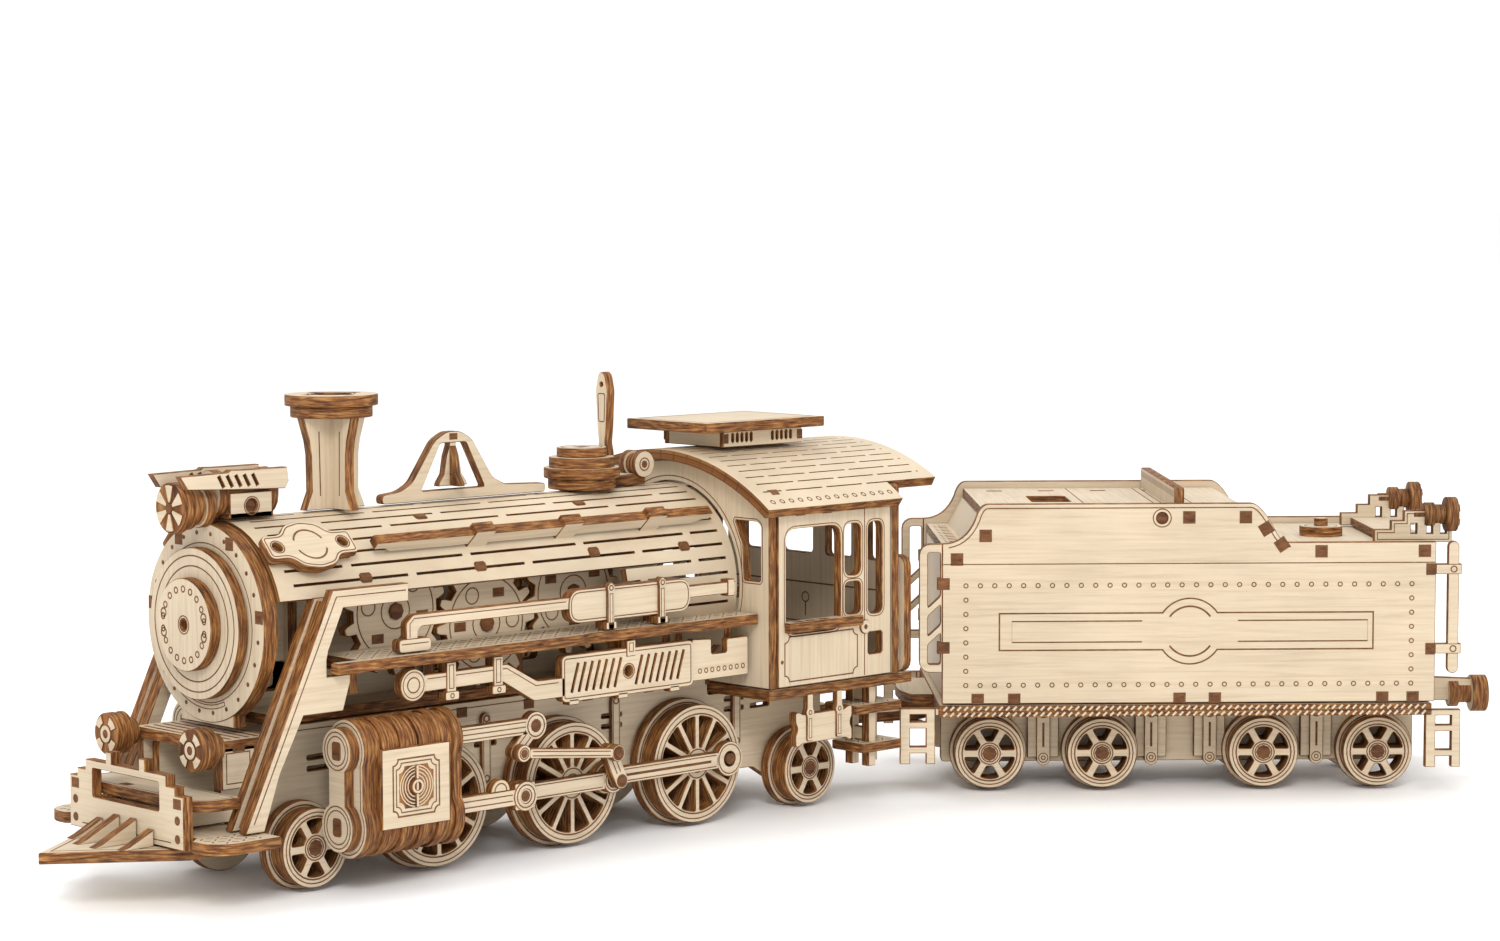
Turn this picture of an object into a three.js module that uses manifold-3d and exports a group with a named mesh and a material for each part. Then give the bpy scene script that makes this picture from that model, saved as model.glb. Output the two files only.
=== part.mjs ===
// Laser-cut plywood model of a ten-wheeled steam locomotive and its tender.
// Millimetres, +Z up. The locomotive points along -X. Its near side is -Y and its far side is +Y.
// The tender stands behind it, turned on its drawbar, and all wheels stand on z = 0.
import * as THREE from 'three';
import { mergeVertices } from 'three/addons/utils/BufferGeometryUtils.js';
import Module from 'manifold-3d';

const wasm = await Module();
wasm.setup();

// ---------------------------------------------------------------- driving dimensions
const PLY = 2; // thickness of every board
const GAP = 0.3; // clearance between neighbouring pieces
const NEAR = -1; // side signs
const FAR = 1;
const SIDES = { near: NEAR, far: FAR };

const AXLE_R = 1.6;
const AXLE_PLAY = 0.35;
const FLANGE = 0.8; // how far a wheel's inner board stands proud of its tread
const WHEEL_FACE = 16.8; // |y| of a wheel's outer face
const WHEEL_WIDTH = 3 * PLY;
const DRIVER = { radius: 11.4, spokes: 12, rim: 2.2, hub: 2.8, spokeWidth: 1.1, facets: 24 };
const SMALL = { radius: 7.05, spokes: 6, rim: 1.9, hub: 2.2, spokeWidth: 1.5, facets: 16 };
const LEADING_X = -7.2;
const DRIVER_X = { front: 20.4, middle: 52.1, rear: 83.8 };
const TRAILING_X = 114.2;

const CRANK_R = 6.5; // throw of the crank pins
const CRANK_ANGLE = THREE.MathUtils.degToRad(4);
const PIN_R = 1.1;
const PIN_HOLE_R = 1.45;
const ECCENTRIC = { x: 3.8, z: 6.2 }; // return crank's outer pin, from the driver's axle
const LAYER_T = 1.8; // thickness of the rods' boards
const LAYER = { side: 17.2, main: 19.4, cross: 21.6, eccentric: 23.8 }; // |y| where each begins

const FRAME_Y = 8.3; // |y| of the frame plates' inner faces
const FRAME_TOP = 28;
const BOARD_Z = 38.3; // underside of the running boards

const BOILER = { z: 45.5, radius: 18.7, skin: 1.5, front: -14.8, rear: 92.6 };
const SMOKEBOX = { z: 46.2, x: -18.1, radius: 17.6, disc: 13.4, centre: 8.2 };
const CAB = { front: 92.9, rear: 126.1, halfWidth: 27.4, floor: 23.6, sideTop: 60.1 };
const ROOF = {
  radius: 52,
  centreZ: 18.8,
  front: 89.8,
  tail: 126.4, // the narrower rear overhang begins here
  rear: 136,
  halfAngle: THREE.MathUtils.degToRad(36),
  tailAngle: THREE.MathUtils.degToRad(24),
};
const REAR_WALL = { x: 126.7, sill: 48 }; // behind the cab sides and the roof's wide part
const HANDRAIL_X = 130.1; // front face of the cab's rear handrail frames
const BACKHEAD = { rear: 104, halfWidth: 12, top: 44 }; // firebox end inside the cab

const GEAR = { teeth: 14, pitch: 10.7, addendum: 0.9, dedendum: 1.2, y: 9.6 };
const GEAR_AT = { front: [15, 46.4], middle: [36.02, 42.4], rear: [57.04, 46.4] };

const TENDER = { length: 98.7, halfWidth: 27.8, floor: 18.6, low: 51, high: 58.9 };
const TENDER_WHEELS = [10.5, 33.4, 66.3, 89.6];
const TENDER_POST = { x: 102.3, low: 25.6, high: 50 }; // handrail post behind each side board
const BUFFER = { front: 112, depth: 3.3, z: 16.5, radius: 3.8 }; // coupling disc behind the tender
const TENDER_LAMP = { y: 18, z: 55.6, rear: 104.7 };
const TENDER_AT = { x: 155.84, y: -10.51, turn: THREE.MathUtils.degToRad(-42.27) };
const DRAWBAR_PIN_X = 131; // locomotive end of the drawbar
const TENDER_PIN_X = -4; // tender end, in the tender's own frame

// Middle of the whole model's footprint, which the model is centred on.
const FOOTPRINT = { x: 99.349, y: -35.235 };

const CREAM = 0xe6d3b3;
const TAN = 0xc99a5b;

// ---------------------------------------------------------------- shapes
function outline(points) {
  const corners = points.map(([a, b]) => new THREE.Vector2(a, b));
  return new THREE.Shape(THREE.ShapeUtils.isClockWise(corners) ? corners.reverse() : corners);
}

function rectangle(a0, b0, a1, b1) {
  return outline([[a0, b0], [a1, b0], [a1, b1], [a0, b1]]);
}

function arc(a, b, radius, from, to, steps) {
  const points = [];
  for (let i = 0; i <= steps; i += 1) {
    const angle = from + ((to - from) * i) / steps;
    points.push([a + radius * Math.cos(angle), b + radius * Math.sin(angle)]);
  }
  return points;
}

// A regular polygon for a round, with corners at the top and bottom.
function disc(a, b, radius, facets = 12) {
  return outline(arc(a, b, radius, 0, 2 * Math.PI, facets).slice(1));
}

function pierced(shape, ...holes) {
  shape.holes.push(...holes);
  return shape;
}

// A bar with round ends between two points.
function link([a0, b0], [a1, b1], radius, steps = 5) {
  const heading = Math.atan2(b1 - b0, a1 - a0);
  const quarter = Math.PI / 2;
  return outline([
    ...arc(a1, b1, radius, heading - quarter, heading + quarter, steps),
    ...arc(a0, b0, radius, heading + quarter, heading + 3 * quarter, steps),
  ]);
}

// A ring sector, centred on straight up.
function archBand(centreZ, outer, inner, halfAngle, segments = 16) {
  const points = [];
  const at = (radius, angle) => [radius * Math.sin(angle), centreZ + radius * Math.cos(angle)];
  for (let i = 0; i <= segments; i += 1) {
    points.push(at(outer, halfAngle * (1 - (2 * i) / segments)));
  }
  for (let i = 0; i <= segments; i += 1) {
    points.push(at(inner, halfAngle * ((2 * i) / segments - 1)));
  }
  return outline(points);
}

// ---------------------------------------------------------------- boards and booleans
function slab(shape, depth) {
  return new THREE.ExtrudeGeometry(shape, { depth, bevelEnabled: false, curveSegments: 3 });
}

// A board lying flat: the shape is (x, y) and its underside is at z.
function flat(shape, z, depth = PLY) {
  return slab(shape, depth).translate(0, 0, z);
}

// A board standing along the model: the shape is (x, z) and its lowest y is given.
function along(shape, y, depth = PLY) {
  return slab(shape, depth).rotateX(Math.PI / 2).translate(0, y + depth, 0);
}

// The same board, given the |y| of its inner face and its side.
function sideBoard(side, shape, innerY, depth = PLY) {
  return along(shape, side > 0 ? innerY : -innerY - depth, depth);
}

// A board standing across the model: the shape is (y, z) and its front face is at x.
function across(shape, x, depth = PLY) {
  const basis = new THREE.Matrix4().makeBasis(
    new THREE.Vector3(0, 1, 0),
    new THREE.Vector3(0, 0, 1),
    new THREE.Vector3(1, 0, 0),
  );
  return slab(shape, depth).applyMatrix4(basis).translate(x, 0, 0);
}

function block(x0, y0, z0, x1, y1, z1) {
  const box = new THREE.BoxGeometry(x1 - x0, y1 - y0, z1 - z0);
  return box.translate((x0 + x1) / 2, (y0 + y1) / 2, (z0 + z1) / 2);
}

// A block given on one side by its inner and outer |y|.
function sideBlock(side, x0, innerY, z0, x1, outerY, z1) {
  const [low, high] = [side * innerY, side * outerY].sort((a, b) => a - b);
  return block(x0, low, z0, x1, high, z1);
}

function roundBar(radius, yLow, yHigh, x, z, segments = 8) {
  const bar = new THREE.CylinderGeometry(radius, radius, yHigh - yLow, segments);
  return bar.translate(x, (yLow + yHigh) / 2, z);
}

function sidePin(side, radius, innerY, outerY, x, z) {
  const [low, high] = [side * innerY, side * outerY].sort((a, b) => a - b);
  return roundBar(radius, low, high, x, z);
}

function toManifold(geometry) {
  const bare = geometry.clone();
  bare.deleteAttribute('normal');
  bare.deleteAttribute('uv');
  const welded = mergeVertices(bare, 1e-4);
  const mesh = new wasm.Mesh({
    numProp: 3,
    vertProperties: welded.attributes.position.array,
    triVerts: new Uint32Array(welded.index.array),
  });
  return new wasm.Manifold(mesh);
}

function toGeometry(solid) {
  const { vertProperties, triVerts } = solid.getMesh();
  const geometry = new THREE.BufferGeometry();
  geometry.setAttribute('position', new THREE.BufferAttribute(vertProperties, 3));
  geometry.setIndex(new THREE.BufferAttribute(triVerts, 1));
  return geometry;
}

function join(...geometries) {
  return toGeometry(geometries.map(toManifold).reduce((sum, next) => sum.add(next)));
}

function cut(base, ...tools) {
  return toGeometry(tools.map(toManifold).reduce((rest, tool) => rest.subtract(tool), toManifold(base)));
}

// ---------------------------------------------------------------- the scene graph
const model = new THREE.Group();
const locomotive = new THREE.Group();
const tender = new THREE.Group();

function add(group, name, geometry, color = CREAM) {
  const material = new THREE.MeshStandardMaterial({ color, roughness: 0.75, metalness: 0 });
  const mesh = new THREE.Mesh(geometry, material);
  mesh.name = name;
  group.add(mesh);
  return mesh;
}

function addPair(group, name, build, color = CREAM) {
  for (const [label, side] of Object.entries(SIDES)) {
    add(group, `${name}_${label}`, build(side), color);
  }
}

// ---------------------------------------------------------------- wheels
function spokeWindows({ radius, rim, hub, spokes, spokeWidth }) {
  const windows = [];
  const outer = radius - rim;
  const step = (2 * Math.PI) / spokes;
  const outerInset = Math.asin(spokeWidth / 2 / outer);
  const innerInset = Math.asin(spokeWidth / 2 / (hub + 0.4));
  for (let k = 0; k < spokes; k += 1) {
    const start = k * step;
    const corners = [
      [hub + 0.4, start + innerInset],
      [outer, start + outerInset],
      [outer, start + step - outerInset],
      [hub + 0.4, start + step - innerInset],
    ];
    windows.push(outline(corners.map(([r, a]) => [r * Math.cos(a), r * Math.sin(a)])));
  }
  return windows;
}

function wheel(side, type) {
  const inner = WHEEL_FACE - WHEEL_WIDTH;
  const { radius, facets } = type;
  const tread = pierced(disc(0, 0, radius, facets), ...spokeWindows(type));
  const flange = disc(0, 0, radius + FLANGE, facets);
  const web = disc(0, 0, radius - FLANGE, facets);
  return [
    sideBoard(side, tread, inner, WHEEL_WIDTH),
    sideBoard(side, pierced(flange, web), inner, PLY),
  ];
}

function axle(halfLength) {
  return roundBar(AXLE_R, -halfLength, halfLength, 0, 0);
}

function wheelset(type, extras = []) {
  return join(axle(LAYER.side - GAP), ...wheel(NEAR, type), ...wheel(FAR, type), ...extras);
}

function addWheelset(group, name, x, type, extras = []) {
  const mesh = add(group, name, wheelset(type, extras));
  mesh.position.set(x, 0, type.radius);
  return mesh;
}

const crankPin = { x: CRANK_R * Math.cos(CRANK_ANGLE), z: CRANK_R * Math.sin(CRANK_ANGLE) };
const crossEnd = LAYER.cross + LAYER_T;
const sideRodEnd = LAYER.side + LAYER_T + GAP;

function shortCrank(side) {
  return sidePin(side, PIN_R, WHEEL_FACE - 1, sideRodEnd, crankPin.x, crankPin.z);
}

// The middle driver's pin also carries the main rod and the return crank.
function returnCrank(side) {
  const arm = link([crankPin.x, crankPin.z], [ECCENTRIC.x, ECCENTRIC.z], 1.5);
  const eccentricEnd = LAYER.eccentric + LAYER_T + GAP;
  return [
    sidePin(side, PIN_R, WHEEL_FACE - 1, crossEnd, crankPin.x, crankPin.z),
    sideBoard(side, arm, LAYER.cross, LAYER_T),
    sidePin(side, PIN_R * 0.8, LAYER.cross + 0.5, eccentricEnd, ECCENTRIC.x, ECCENTRIC.z),
  ];
}

addWheelset(locomotive, 'leading_wheelset', LEADING_X, SMALL);
addWheelset(locomotive, 'driver_wheelset_front', DRIVER_X.front, DRIVER);
const middleExtras = [...returnCrank(NEAR), ...returnCrank(FAR)];
addWheelset(locomotive, 'driver_wheelset_middle', DRIVER_X.middle, DRIVER, middleExtras);
const rearExtras = [shortCrank(NEAR), shortCrank(FAR)];
addWheelset(locomotive, 'driver_wheelset_rear', DRIVER_X.rear, DRIVER, rearExtras);
addWheelset(locomotive, 'trailing_wheelset', TRAILING_X, SMALL);

// ---------------------------------------------------------------- rods
const middlePin = [DRIVER_X.middle + crankPin.x, DRIVER.radius + crankPin.z];
const rearPin = [DRIVER_X.rear + crankPin.x, DRIVER.radius + crankPin.z];
const eccentricPin = [DRIVER_X.middle + ECCENTRIC.x, DRIVER.radius + ECCENTRIC.z];
const crosshead = [35.2, middlePin[1]];
const valveBoss = [37.8, 24.5];
const linkFoot = [33.2, 20.1];

function rod(side, from, to, layer, bar, ends, holes) {
  const board = (shape) => sideBoard(side, shape, layer, LAYER_T);
  const solid = join(
    board(link(from, to, bar)),
    board(disc(...from, ends[0], 16)),
    board(disc(...to, ends[1], 16)),
  );
  const drill = (at, radius) => sidePin(side, radius, layer - 1, layer + LAYER_T + 1, ...at);
  const tools = [];
  if (holes[0]) {
    tools.push(drill(from, holes[0]));
  }
  if (holes[1]) {
    tools.push(drill(to, holes[1]));
  }
  return cut(solid, ...tools);
}

addPair(locomotive, 'side_rod', (side) => (
  rod(side, middlePin, rearPin, LAYER.side, 1.6, [3, 3.4], [PIN_HOLE_R, PIN_HOLE_R])));
addPair(locomotive, 'main_rod', (side) => (
  rod(side, crosshead, middlePin, LAYER.main, 1.6, [2.4, 2.6], [0, PIN_HOLE_R])));
addPair(locomotive, 'eccentric_rod', (side) => (
  rod(side, linkFoot, eccentricPin, LAYER.eccentric, 0.9, [1.6, 1.6], [0, PIN_R * 0.8 + 0.35])));

function piston(side) {
  const rodShape = rectangle(15.5, crosshead[1] - 1.5, crosshead[0], crosshead[1] + 1.5);
  return join(
    sideBoard(side, rodShape, LAYER.cross, LAYER_T),
    sideBoard(side, disc(...crosshead, 2.8, 16), LAYER.cross, LAYER_T),
  );
}
addPair(locomotive, 'piston', piston);

// ---------------------------------------------------------------- cylinders
const CHEST = { y: 22.9, upperZ: 24.8, lowerZ: 11.4, upperR: 5.4, lowerR: 5.8, front: -7, rear: 17 };

function chestRib(side, x, depth, grow) {
  const lobe = (z, radius) => across(disc(side * CHEST.y, z, radius + grow, 16), x, depth);
  const waist = CHEST.upperR + grow - 1;
  const y = side * CHEST.y;
  return [
    lobe(CHEST.upperZ, CHEST.upperR),
    lobe(CHEST.lowerZ, CHEST.lowerR),
    across(rectangle(y - waist, CHEST.lowerZ, y + waist, CHEST.upperZ), x, depth),
  ];
}

function cylinder(side) {
  const ornament = rectangle(-1.7, 10.9, 13.3, 25);
  const valveBar = rectangle(CHEST.rear - 1, 23, valveBoss[0], 26);
  const solid = join(
    ...chestRib(side, CHEST.front, PLY + 0.2, -1.3),
    ...chestRib(side, CHEST.front + PLY, CHEST.rear - CHEST.front - PLY, 0),
    sideBoard(side, ornament, CHEST.y + 4, 2.6),
    sideBoard(side, valveBar, LAYER.cross, LAYER_T),
    sideBoard(side, disc(...valveBoss, 2.6, 16), LAYER.cross, LAYER_T),
    sideBoard(side, link(valveBoss, linkFoot, 1.4), LAYER.cross, LAYER_T),
    sideBlock(side, 1.4, 10.7, 18, 5.4, 20, 21),
  );
  const z = crosshead[1];
  return cut(solid, sideBlock(side, 1.5, LAYER.cross - 0.4, z - 1.9, 18, crossEnd + 0.4, z + 1.9));
}
addPair(locomotive, 'cylinder', cylinder, TAN);

// ---------------------------------------------------------------- frame
function framePlate(side) {
  const profile = outline([
    [-30.6, 12.5], [-13, 12.5], [-11, 4], [-3.4, 4], [-1.4, 9.2], [104.6, 7.6], [110.4, 4],
    [118, 4], [123.6, 13.9], [123.6, 23.2], [92.5, 23.2], [92.5, FRAME_TOP], [-12.6, FRAME_TOP],
    [-12.6, 24.8], [-22.6, 24.8], [-22.6, 16.1], [-30.6, 16.1],
  ]);
  const axleHole = (x, z) => disc(x, z, AXLE_R + AXLE_PLAY, 8);
  const drivers = Object.values(DRIVER_X).map((x) => axleHole(x, DRIVER.radius));
  const small = [LEADING_X, TRAILING_X].map((x) => axleHole(x, SMALL.radius));
  return sideBoard(side, pierced(profile, ...drivers, ...small), FRAME_Y);
}
addPair(locomotive, 'frame_plate', framePlate);

function boilerCradle() {
  const spineTop = BOILER.z + BOILER.radius - BOILER.skin - GAP - 1;
  const spine = rectangle(-12, FRAME_TOP + 1, 88, spineTop);
  const axles = Object.values(GEAR_AT).map(([x, z]) => disc(x, z, AXLE_R + AXLE_PLAY, 8));
  const shoulder = BOILER.z + 14.2;
  const rib = outline([
    [-FRAME_Y, FRAME_TOP + 1], [FRAME_Y, FRAME_TOP + 1], [FRAME_Y, shoulder],
    [4, spineTop], [-4, spineTop], [-FRAME_Y, shoulder],
  ]);
  const ribs = [-2, 24.5, 45.5, 68].map((x) => across(rib, x));
  const wings = [-2, 72, 88].map((x) => across(rectangle(-20, 34, 20, BOARD_Z - GAP), x));
  const top = FRAME_TOP + GAP;
  return join(
    flat(rectangle(-12, -FRAME_Y - 2, 92, FRAME_Y + 2), top),
    along(pierced(spine, ...axles), -1),
    across(rectangle(-8, top, 8, BOARD_Z - GAP), 86, 4),
    across(rectangle(-8, top, 8, BOARD_Z - GAP), 70, 4),
    ...ribs,
    ...wings,
  );
}
add(locomotive, 'boiler_cradle', boilerCradle());

// ---------------------------------------------------------------- gears
function gearPhases() {
  const pitch = (2 * Math.PI) / GEAR.teeth;
  const heading = ([x0, z0], [x1, z1]) => Math.atan2(z1 - z0, x1 - x0);
  const first = heading(GEAR_AT.front, GEAR_AT.middle);
  const second = heading(GEAR_AT.middle, GEAR_AT.rear);
  const middle = first + Math.PI + pitch / 2;
  return { front: first, middle, rear: second + Math.PI - (middle - second) + pitch / 2 };
}

function gearShape(phase) {
  const pitch = (2 * Math.PI) / GEAR.teeth;
  const root = GEAR.pitch - GEAR.dedendum;
  const tip = GEAR.pitch + GEAR.addendum;
  const tooth = [[root, -0.27], [tip, -0.12], [tip, 0.12], [root, 0.27]];
  const points = [];
  for (let k = 0; k < GEAR.teeth; k += 1) {
    for (const [radius, offset] of tooth) {
      const angle = phase + (k + offset) * pitch;
      points.push([radius * Math.cos(angle), radius * Math.sin(angle)]);
    }
  }
  return outline(points);
}

function gearPair(phase) {
  const reach = GEAR.y + PLY + 0.5;
  return join(
    roundBar(AXLE_R, -reach, reach, 0, 0),
    sideBoard(NEAR, gearShape(phase), GEAR.y),
    sideBoard(FAR, gearShape(phase), GEAR.y),
  );
}

for (const [label, phase] of Object.entries(gearPhases())) {
  const [x, z] = GEAR_AT[label];
  add(locomotive, `gear_${label}`, gearPair(phase)).position.set(x, 0, z);
}

// ---------------------------------------------------------------- boiler and smokebox
function boilerJacket() {
  const { z, radius, skin, front, rear } = BOILER;
  const crown = archBand(z, radius, radius - skin, THREE.MathUtils.degToRad(69), 16);
  const skirt = archBand(z, radius, radius - skin, THREE.MathUtils.degToRad(104), 16);
  const skirtX = 68;
  return join(across(crown, front, rear - front), across(skirt, skirtX, rear - skirtX));
}
add(locomotive, 'boiler_jacket', boilerJacket());

function smokeboxFront() {
  const ring = disc(0, SMOKEBOX.z, SMOKEBOX.radius, 36);
  return join(
    across(ring, SMOKEBOX.x, 3),
    across(rectangle(-8, FRAME_TOP + GAP, 8, SMOKEBOX.z), SMOKEBOX.x, 3),
  );
}
add(locomotive, 'smokebox_front', smokeboxFront());

function smokeboxDoor() {
  const back = SMOKEBOX.x - GAP;
  return cut(
    join(
      across(disc(0, SMOKEBOX.z, SMOKEBOX.disc, 32), back - PLY),
      across(disc(0, SMOKEBOX.z, SMOKEBOX.centre, 24), back - 2 * PLY - 0.2, PLY + 0.4),
    ),
    across(disc(0, SMOKEBOX.z, 0.9, 8), back - 6, 3.5),
  );
}
add(locomotive, 'smokebox_door', smokeboxDoor());

// Lamp discs on two rounded brackets over the smokebox, between two long side boards.
function headlamp() {
  const lampZ = 66.8;
  const base = BOILER.z + BOILER.radius + GAP;
  const bracket = (x) => across(link([0, base + 3.6], [0, 69.4], 3.6), x);
  const visor = outline([[-26.3, 72.6], [-24.7, 70.2], [-4, 69.3], [-3.4, 73.2]]);
  const cheek = rectangle(-15.5, base, -6, 69);
  return join(
    across(disc(0, lampZ, 4.5, 20), -25.4),
    across(disc(0, lampZ, 4, 16), -23.5, 3),
    across(disc(0, lampZ, 2.6), -20.6, 6),
    bracket(-17),
    bracket(-6.4),
    along(cheek, -4, 1.2),
    along(cheek, 2.8, 1.2),
    block(-15.5, -4, base, -6, 4, base + 1),
    along(visor, -5, 1.6),
    along(visor, 3.4, 1.6),
    block(-16.6, -4, 68.6, -4.8, 4, 70.6),
  );
}
add(locomotive, 'headlamp', headlamp());

function revolve(profile, x, segments = 20) {
  const points = profile.map(([radius, z]) => new THREE.Vector2(radius, z));
  return new THREE.LatheGeometry(points, segments).rotateX(Math.PI / 2).translate(x, 0, 0);
}

// Two crossed boards carry two stacked rings.
function chimney() {
  const x = 10;
  const base = BOILER.z + BOILER.radius + GAP;
  const half = [[6.6, base], [5.2, base + 3.2], [5.6, 76], [7.2, 81.6]];
  const profile = [...half, ...half.map(([a, b]) => [-a, b]).reverse()];
  const ring = (radius, z0, z1) => (
    revolve([[2.6, z0], [radius, z0], [radius, z1], [2.6, z1], [2.6, z0]], x));
  return join(
    along(outline(profile.map(([a, b]) => [a + x, b])), -PLY / 2),
    across(outline(profile), x - PLY / 2),
    ring(7.5, 81.3, 83.4),
    ring(8.4, 83.2, 85.2),
  );
}
add(locomotive, 'chimney', chimney());

const RIDGE_Z = BOILER.z + BOILER.radius + GAP;

// An A-shaped frame on the ridge, with a bell of two crossed boards hanging in it.
function bellFrame() {
  const frame = outline([
    [20.5, RIDGE_Z], [59.5, RIDGE_Z], [59.5, 66.2], [49.5, 66.6], [46.6, 68], [41.6, 75.6],
    [38.8, 77.1], [35.6, 77.1], [32.8, 75.6], [27.4, 68], [24.6, 66.6], [20.5, 66.2],
  ]);
  const opening = outline([[29.6, 66.4], [44.6, 66.4], [40.2, 75], [34.2, 75]]);
  const half = [[3.4, 67], [2.2, 68.6], [1.4, 72.6], [1, 75.6]];
  const profile = [...half, ...half.map(([a, b]) => [-a, b]).reverse()];
  const x = 37.2;
  return join(
    along(pierced(frame, opening), -PLY / 2),
    along(outline(profile.map(([a, b]) => [a + x, b])), -0.8, 1.6),
    across(outline(profile), x - 0.8, 1.6),
  );
}
add(locomotive, 'bell_frame', bellFrame());

const DOME_X = 69.4;
const WHISTLE = { x: 74.5, halfWidth: 1.7 };

// Three stacked rounds with a notch for the whistle board at the rear.
function steamDome() {
  const rounds = revolve([
    [0, RIDGE_Z], [6.6, RIDGE_Z], [6.6, 66.6], [7.4, 66.6], [7.4, 68.6], [6.4, 68.6], [6.4, 70.6],
    [5.2, 70.6], [5.2, 72.4], [0, 72.4],
  ], DOME_X, 20);
  const notchHalf = WHISTLE.halfWidth + GAP;
  return cut(rounds, block(WHISTLE.x - GAP, -notchHalf, RIDGE_Z - 1, DOME_X + 9, notchHalf, 75));
}
add(locomotive, 'steam_dome', steamDome(), TAN);

function whistle() {
  const { x, halfWidth } = WHISTLE;
  const paddle = outline([
    [-1.4, RIDGE_Z], [1.4, RIDGE_Z], [1.4, 71], [0.9, 73], [1.3, 76], [halfWidth, 83], [1, 86],
    [0, 86.7], [-1, 86], [-halfWidth, 83], [-1.3, 76], [-0.9, 73], [-1.4, 71],
  ]);
  return join(
    across(paddle, x),
    block(x + 1, -halfWidth, RIDGE_Z, 84.2, halfWidth, 66.6),
    roundBar(2.6, -2.4, 2.4, 83.4, 68.4, 14),
  );
}
add(locomotive, 'whistle', whistle(), TAN);

// ---------------------------------------------------------------- front end
function pilot() {
  const wedge = outline([[-52.8, 0], [-32.3, -15], [-23, -15], [-23, 15], [-32.3, 15]]);
  const finSlope = 0.55;
  const fins = [-7.8, -2.6, 2.6, 7.8].map((y) => {
    const foot = Math.abs(y) > 5 ? -41.4 : -43.6;
    const top = 9.6 + finSlope * (-35.5 - foot);
    return along(outline([[foot, 9.6], [-35.5, 9.6], [-35.5, top]]), y - 1);
  });
  return join(flat(wedge, 7.9), ...fins);
}
add(locomotive, 'pilot', pilot());

function pilotFrame() {
  const profile = outline([
    [-17.4, 10.2], [17.4, 10.2], [17.4, 20.4], [12.4, 21.4], [12.4, 22.6], [6, 22.6], [6, 24.6],
    [4.2, 24.6], [4.2, 22.6], [-4.2, 22.6], [-4.2, 24.6], [-6, 24.6], [-6, 22.6], [-12.4, 22.6],
    [-12.4, 21.4], [-17.4, 20.4],
  ]);
  const window = rectangle(-10.2, 16.2, 10.2, 21);
  return across(pierced(profile, window), -35.2);
}
add(locomotive, 'pilot_frame', pilotFrame());

function bufferBeam() {
  const shape = new THREE.Shape();
  shape.moveTo(-32.9, -14);
  shape.absarc(-28, -14, 4.9, Math.PI, 1.5 * Math.PI);
  shape.lineTo(-24.6, -18.9);
  shape.lineTo(-24.6, 18.9);
  shape.absarc(-28, 14, 4.9, Math.PI / 2, Math.PI);
  return flat(shape, 16.4);
}
add(locomotive, 'buffer_beam', bufferBeam());

function frontStepBoard() {
  const shape = new THREE.Shape();
  shape.moveTo(-32.9, -17.8);
  shape.lineTo(-35, -19.6);
  shape.absarc(-30, -21.5, 5, Math.PI, 1.5 * Math.PI);
  shape.lineTo(-21.5, -26.5);
  shape.lineTo(-21.5, 26.5);
  shape.absarc(-30, 21.5, 5, Math.PI / 2, Math.PI);
  shape.lineTo(-35, 19.6);
  shape.lineTo(-32.9, 17.8);
  return flat(shape, 10.2);
}
add(locomotive, 'front_step_board', frontStepBoard());

function frontDeck() {
  const cheek = rectangle(-24, 18.7, -17.2, 26);
  return join(
    flat(rectangle(-24.5, -13, -13, 13), 25.2),
    sideBoard(NEAR, cheek, 11),
    sideBoard(FAR, cheek, 11),
  );
}
add(locomotive, 'front_deck', frontDeck());

const LAMP = { x: -30.5, y: 12.9, z: 26.4, radius: 3.75 };

function markerLamp(side) {
  const y = side * LAMP.y;
  const half = PLY * 1.5;
  return join(
    across(disc(y, LAMP.z, LAMP.radius, 20), LAMP.x - half + 1, 2 * half),
    across(disc(y, LAMP.z, 2.4), LAMP.x + 3.6, 2.1),
  );
}
addPair(locomotive, 'marker_lamp', markerLamp, TAN);

// A channel of two boards with a web between them, from the step board up to the boiler.
function brace(side) {
  const flange = outline([
    [-26, 12.5], [-22, 12.5], [-18.6, 22], [-13.5, 31.6], [-5, 31.6], [-3.2, 36.5], [-3.2, 42],
    [-8, 42.4], [-4.7, 49.6], [9.6, 49.6], [9.6, 52.8], [-7, 52.8],
  ]);
  const inner = outline([[-26, 12.5], [-23, 12.5], [-5, 51.2], [-8, 51.2]]);
  const web = outline([[-24.6, 13.2], [-23, 12.8], [-6, 50.4], [-7.6, 50.8]]);
  const solid = join(
    sideBoard(side, flange, 20.4),
    sideBoard(side, inner, 16.4),
    sideBoard(side, web, 17, 5),
  );
  return cut(solid, sideBlock(side, -8.2, 12, BOARD_Z - GAP, -2, 20.3, BOARD_Z + 2.5));
}
addPair(locomotive, 'brace', brace);

// ---------------------------------------------------------------- running boards and pipework
function runningBoard(side) {
  const shape = outline([
    [-2.2, 12], [92.4, 12], [92.4, 24.7], [-7.8, 24.7], [-7.8, 22.8], [-2.2, 22.8],
  ].map(([x, y]) => [x, side * y]));
  return flat(shape, BOARD_Z);
}
addPair(locomotive, 'running_board', runningBoard, TAN);

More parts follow.
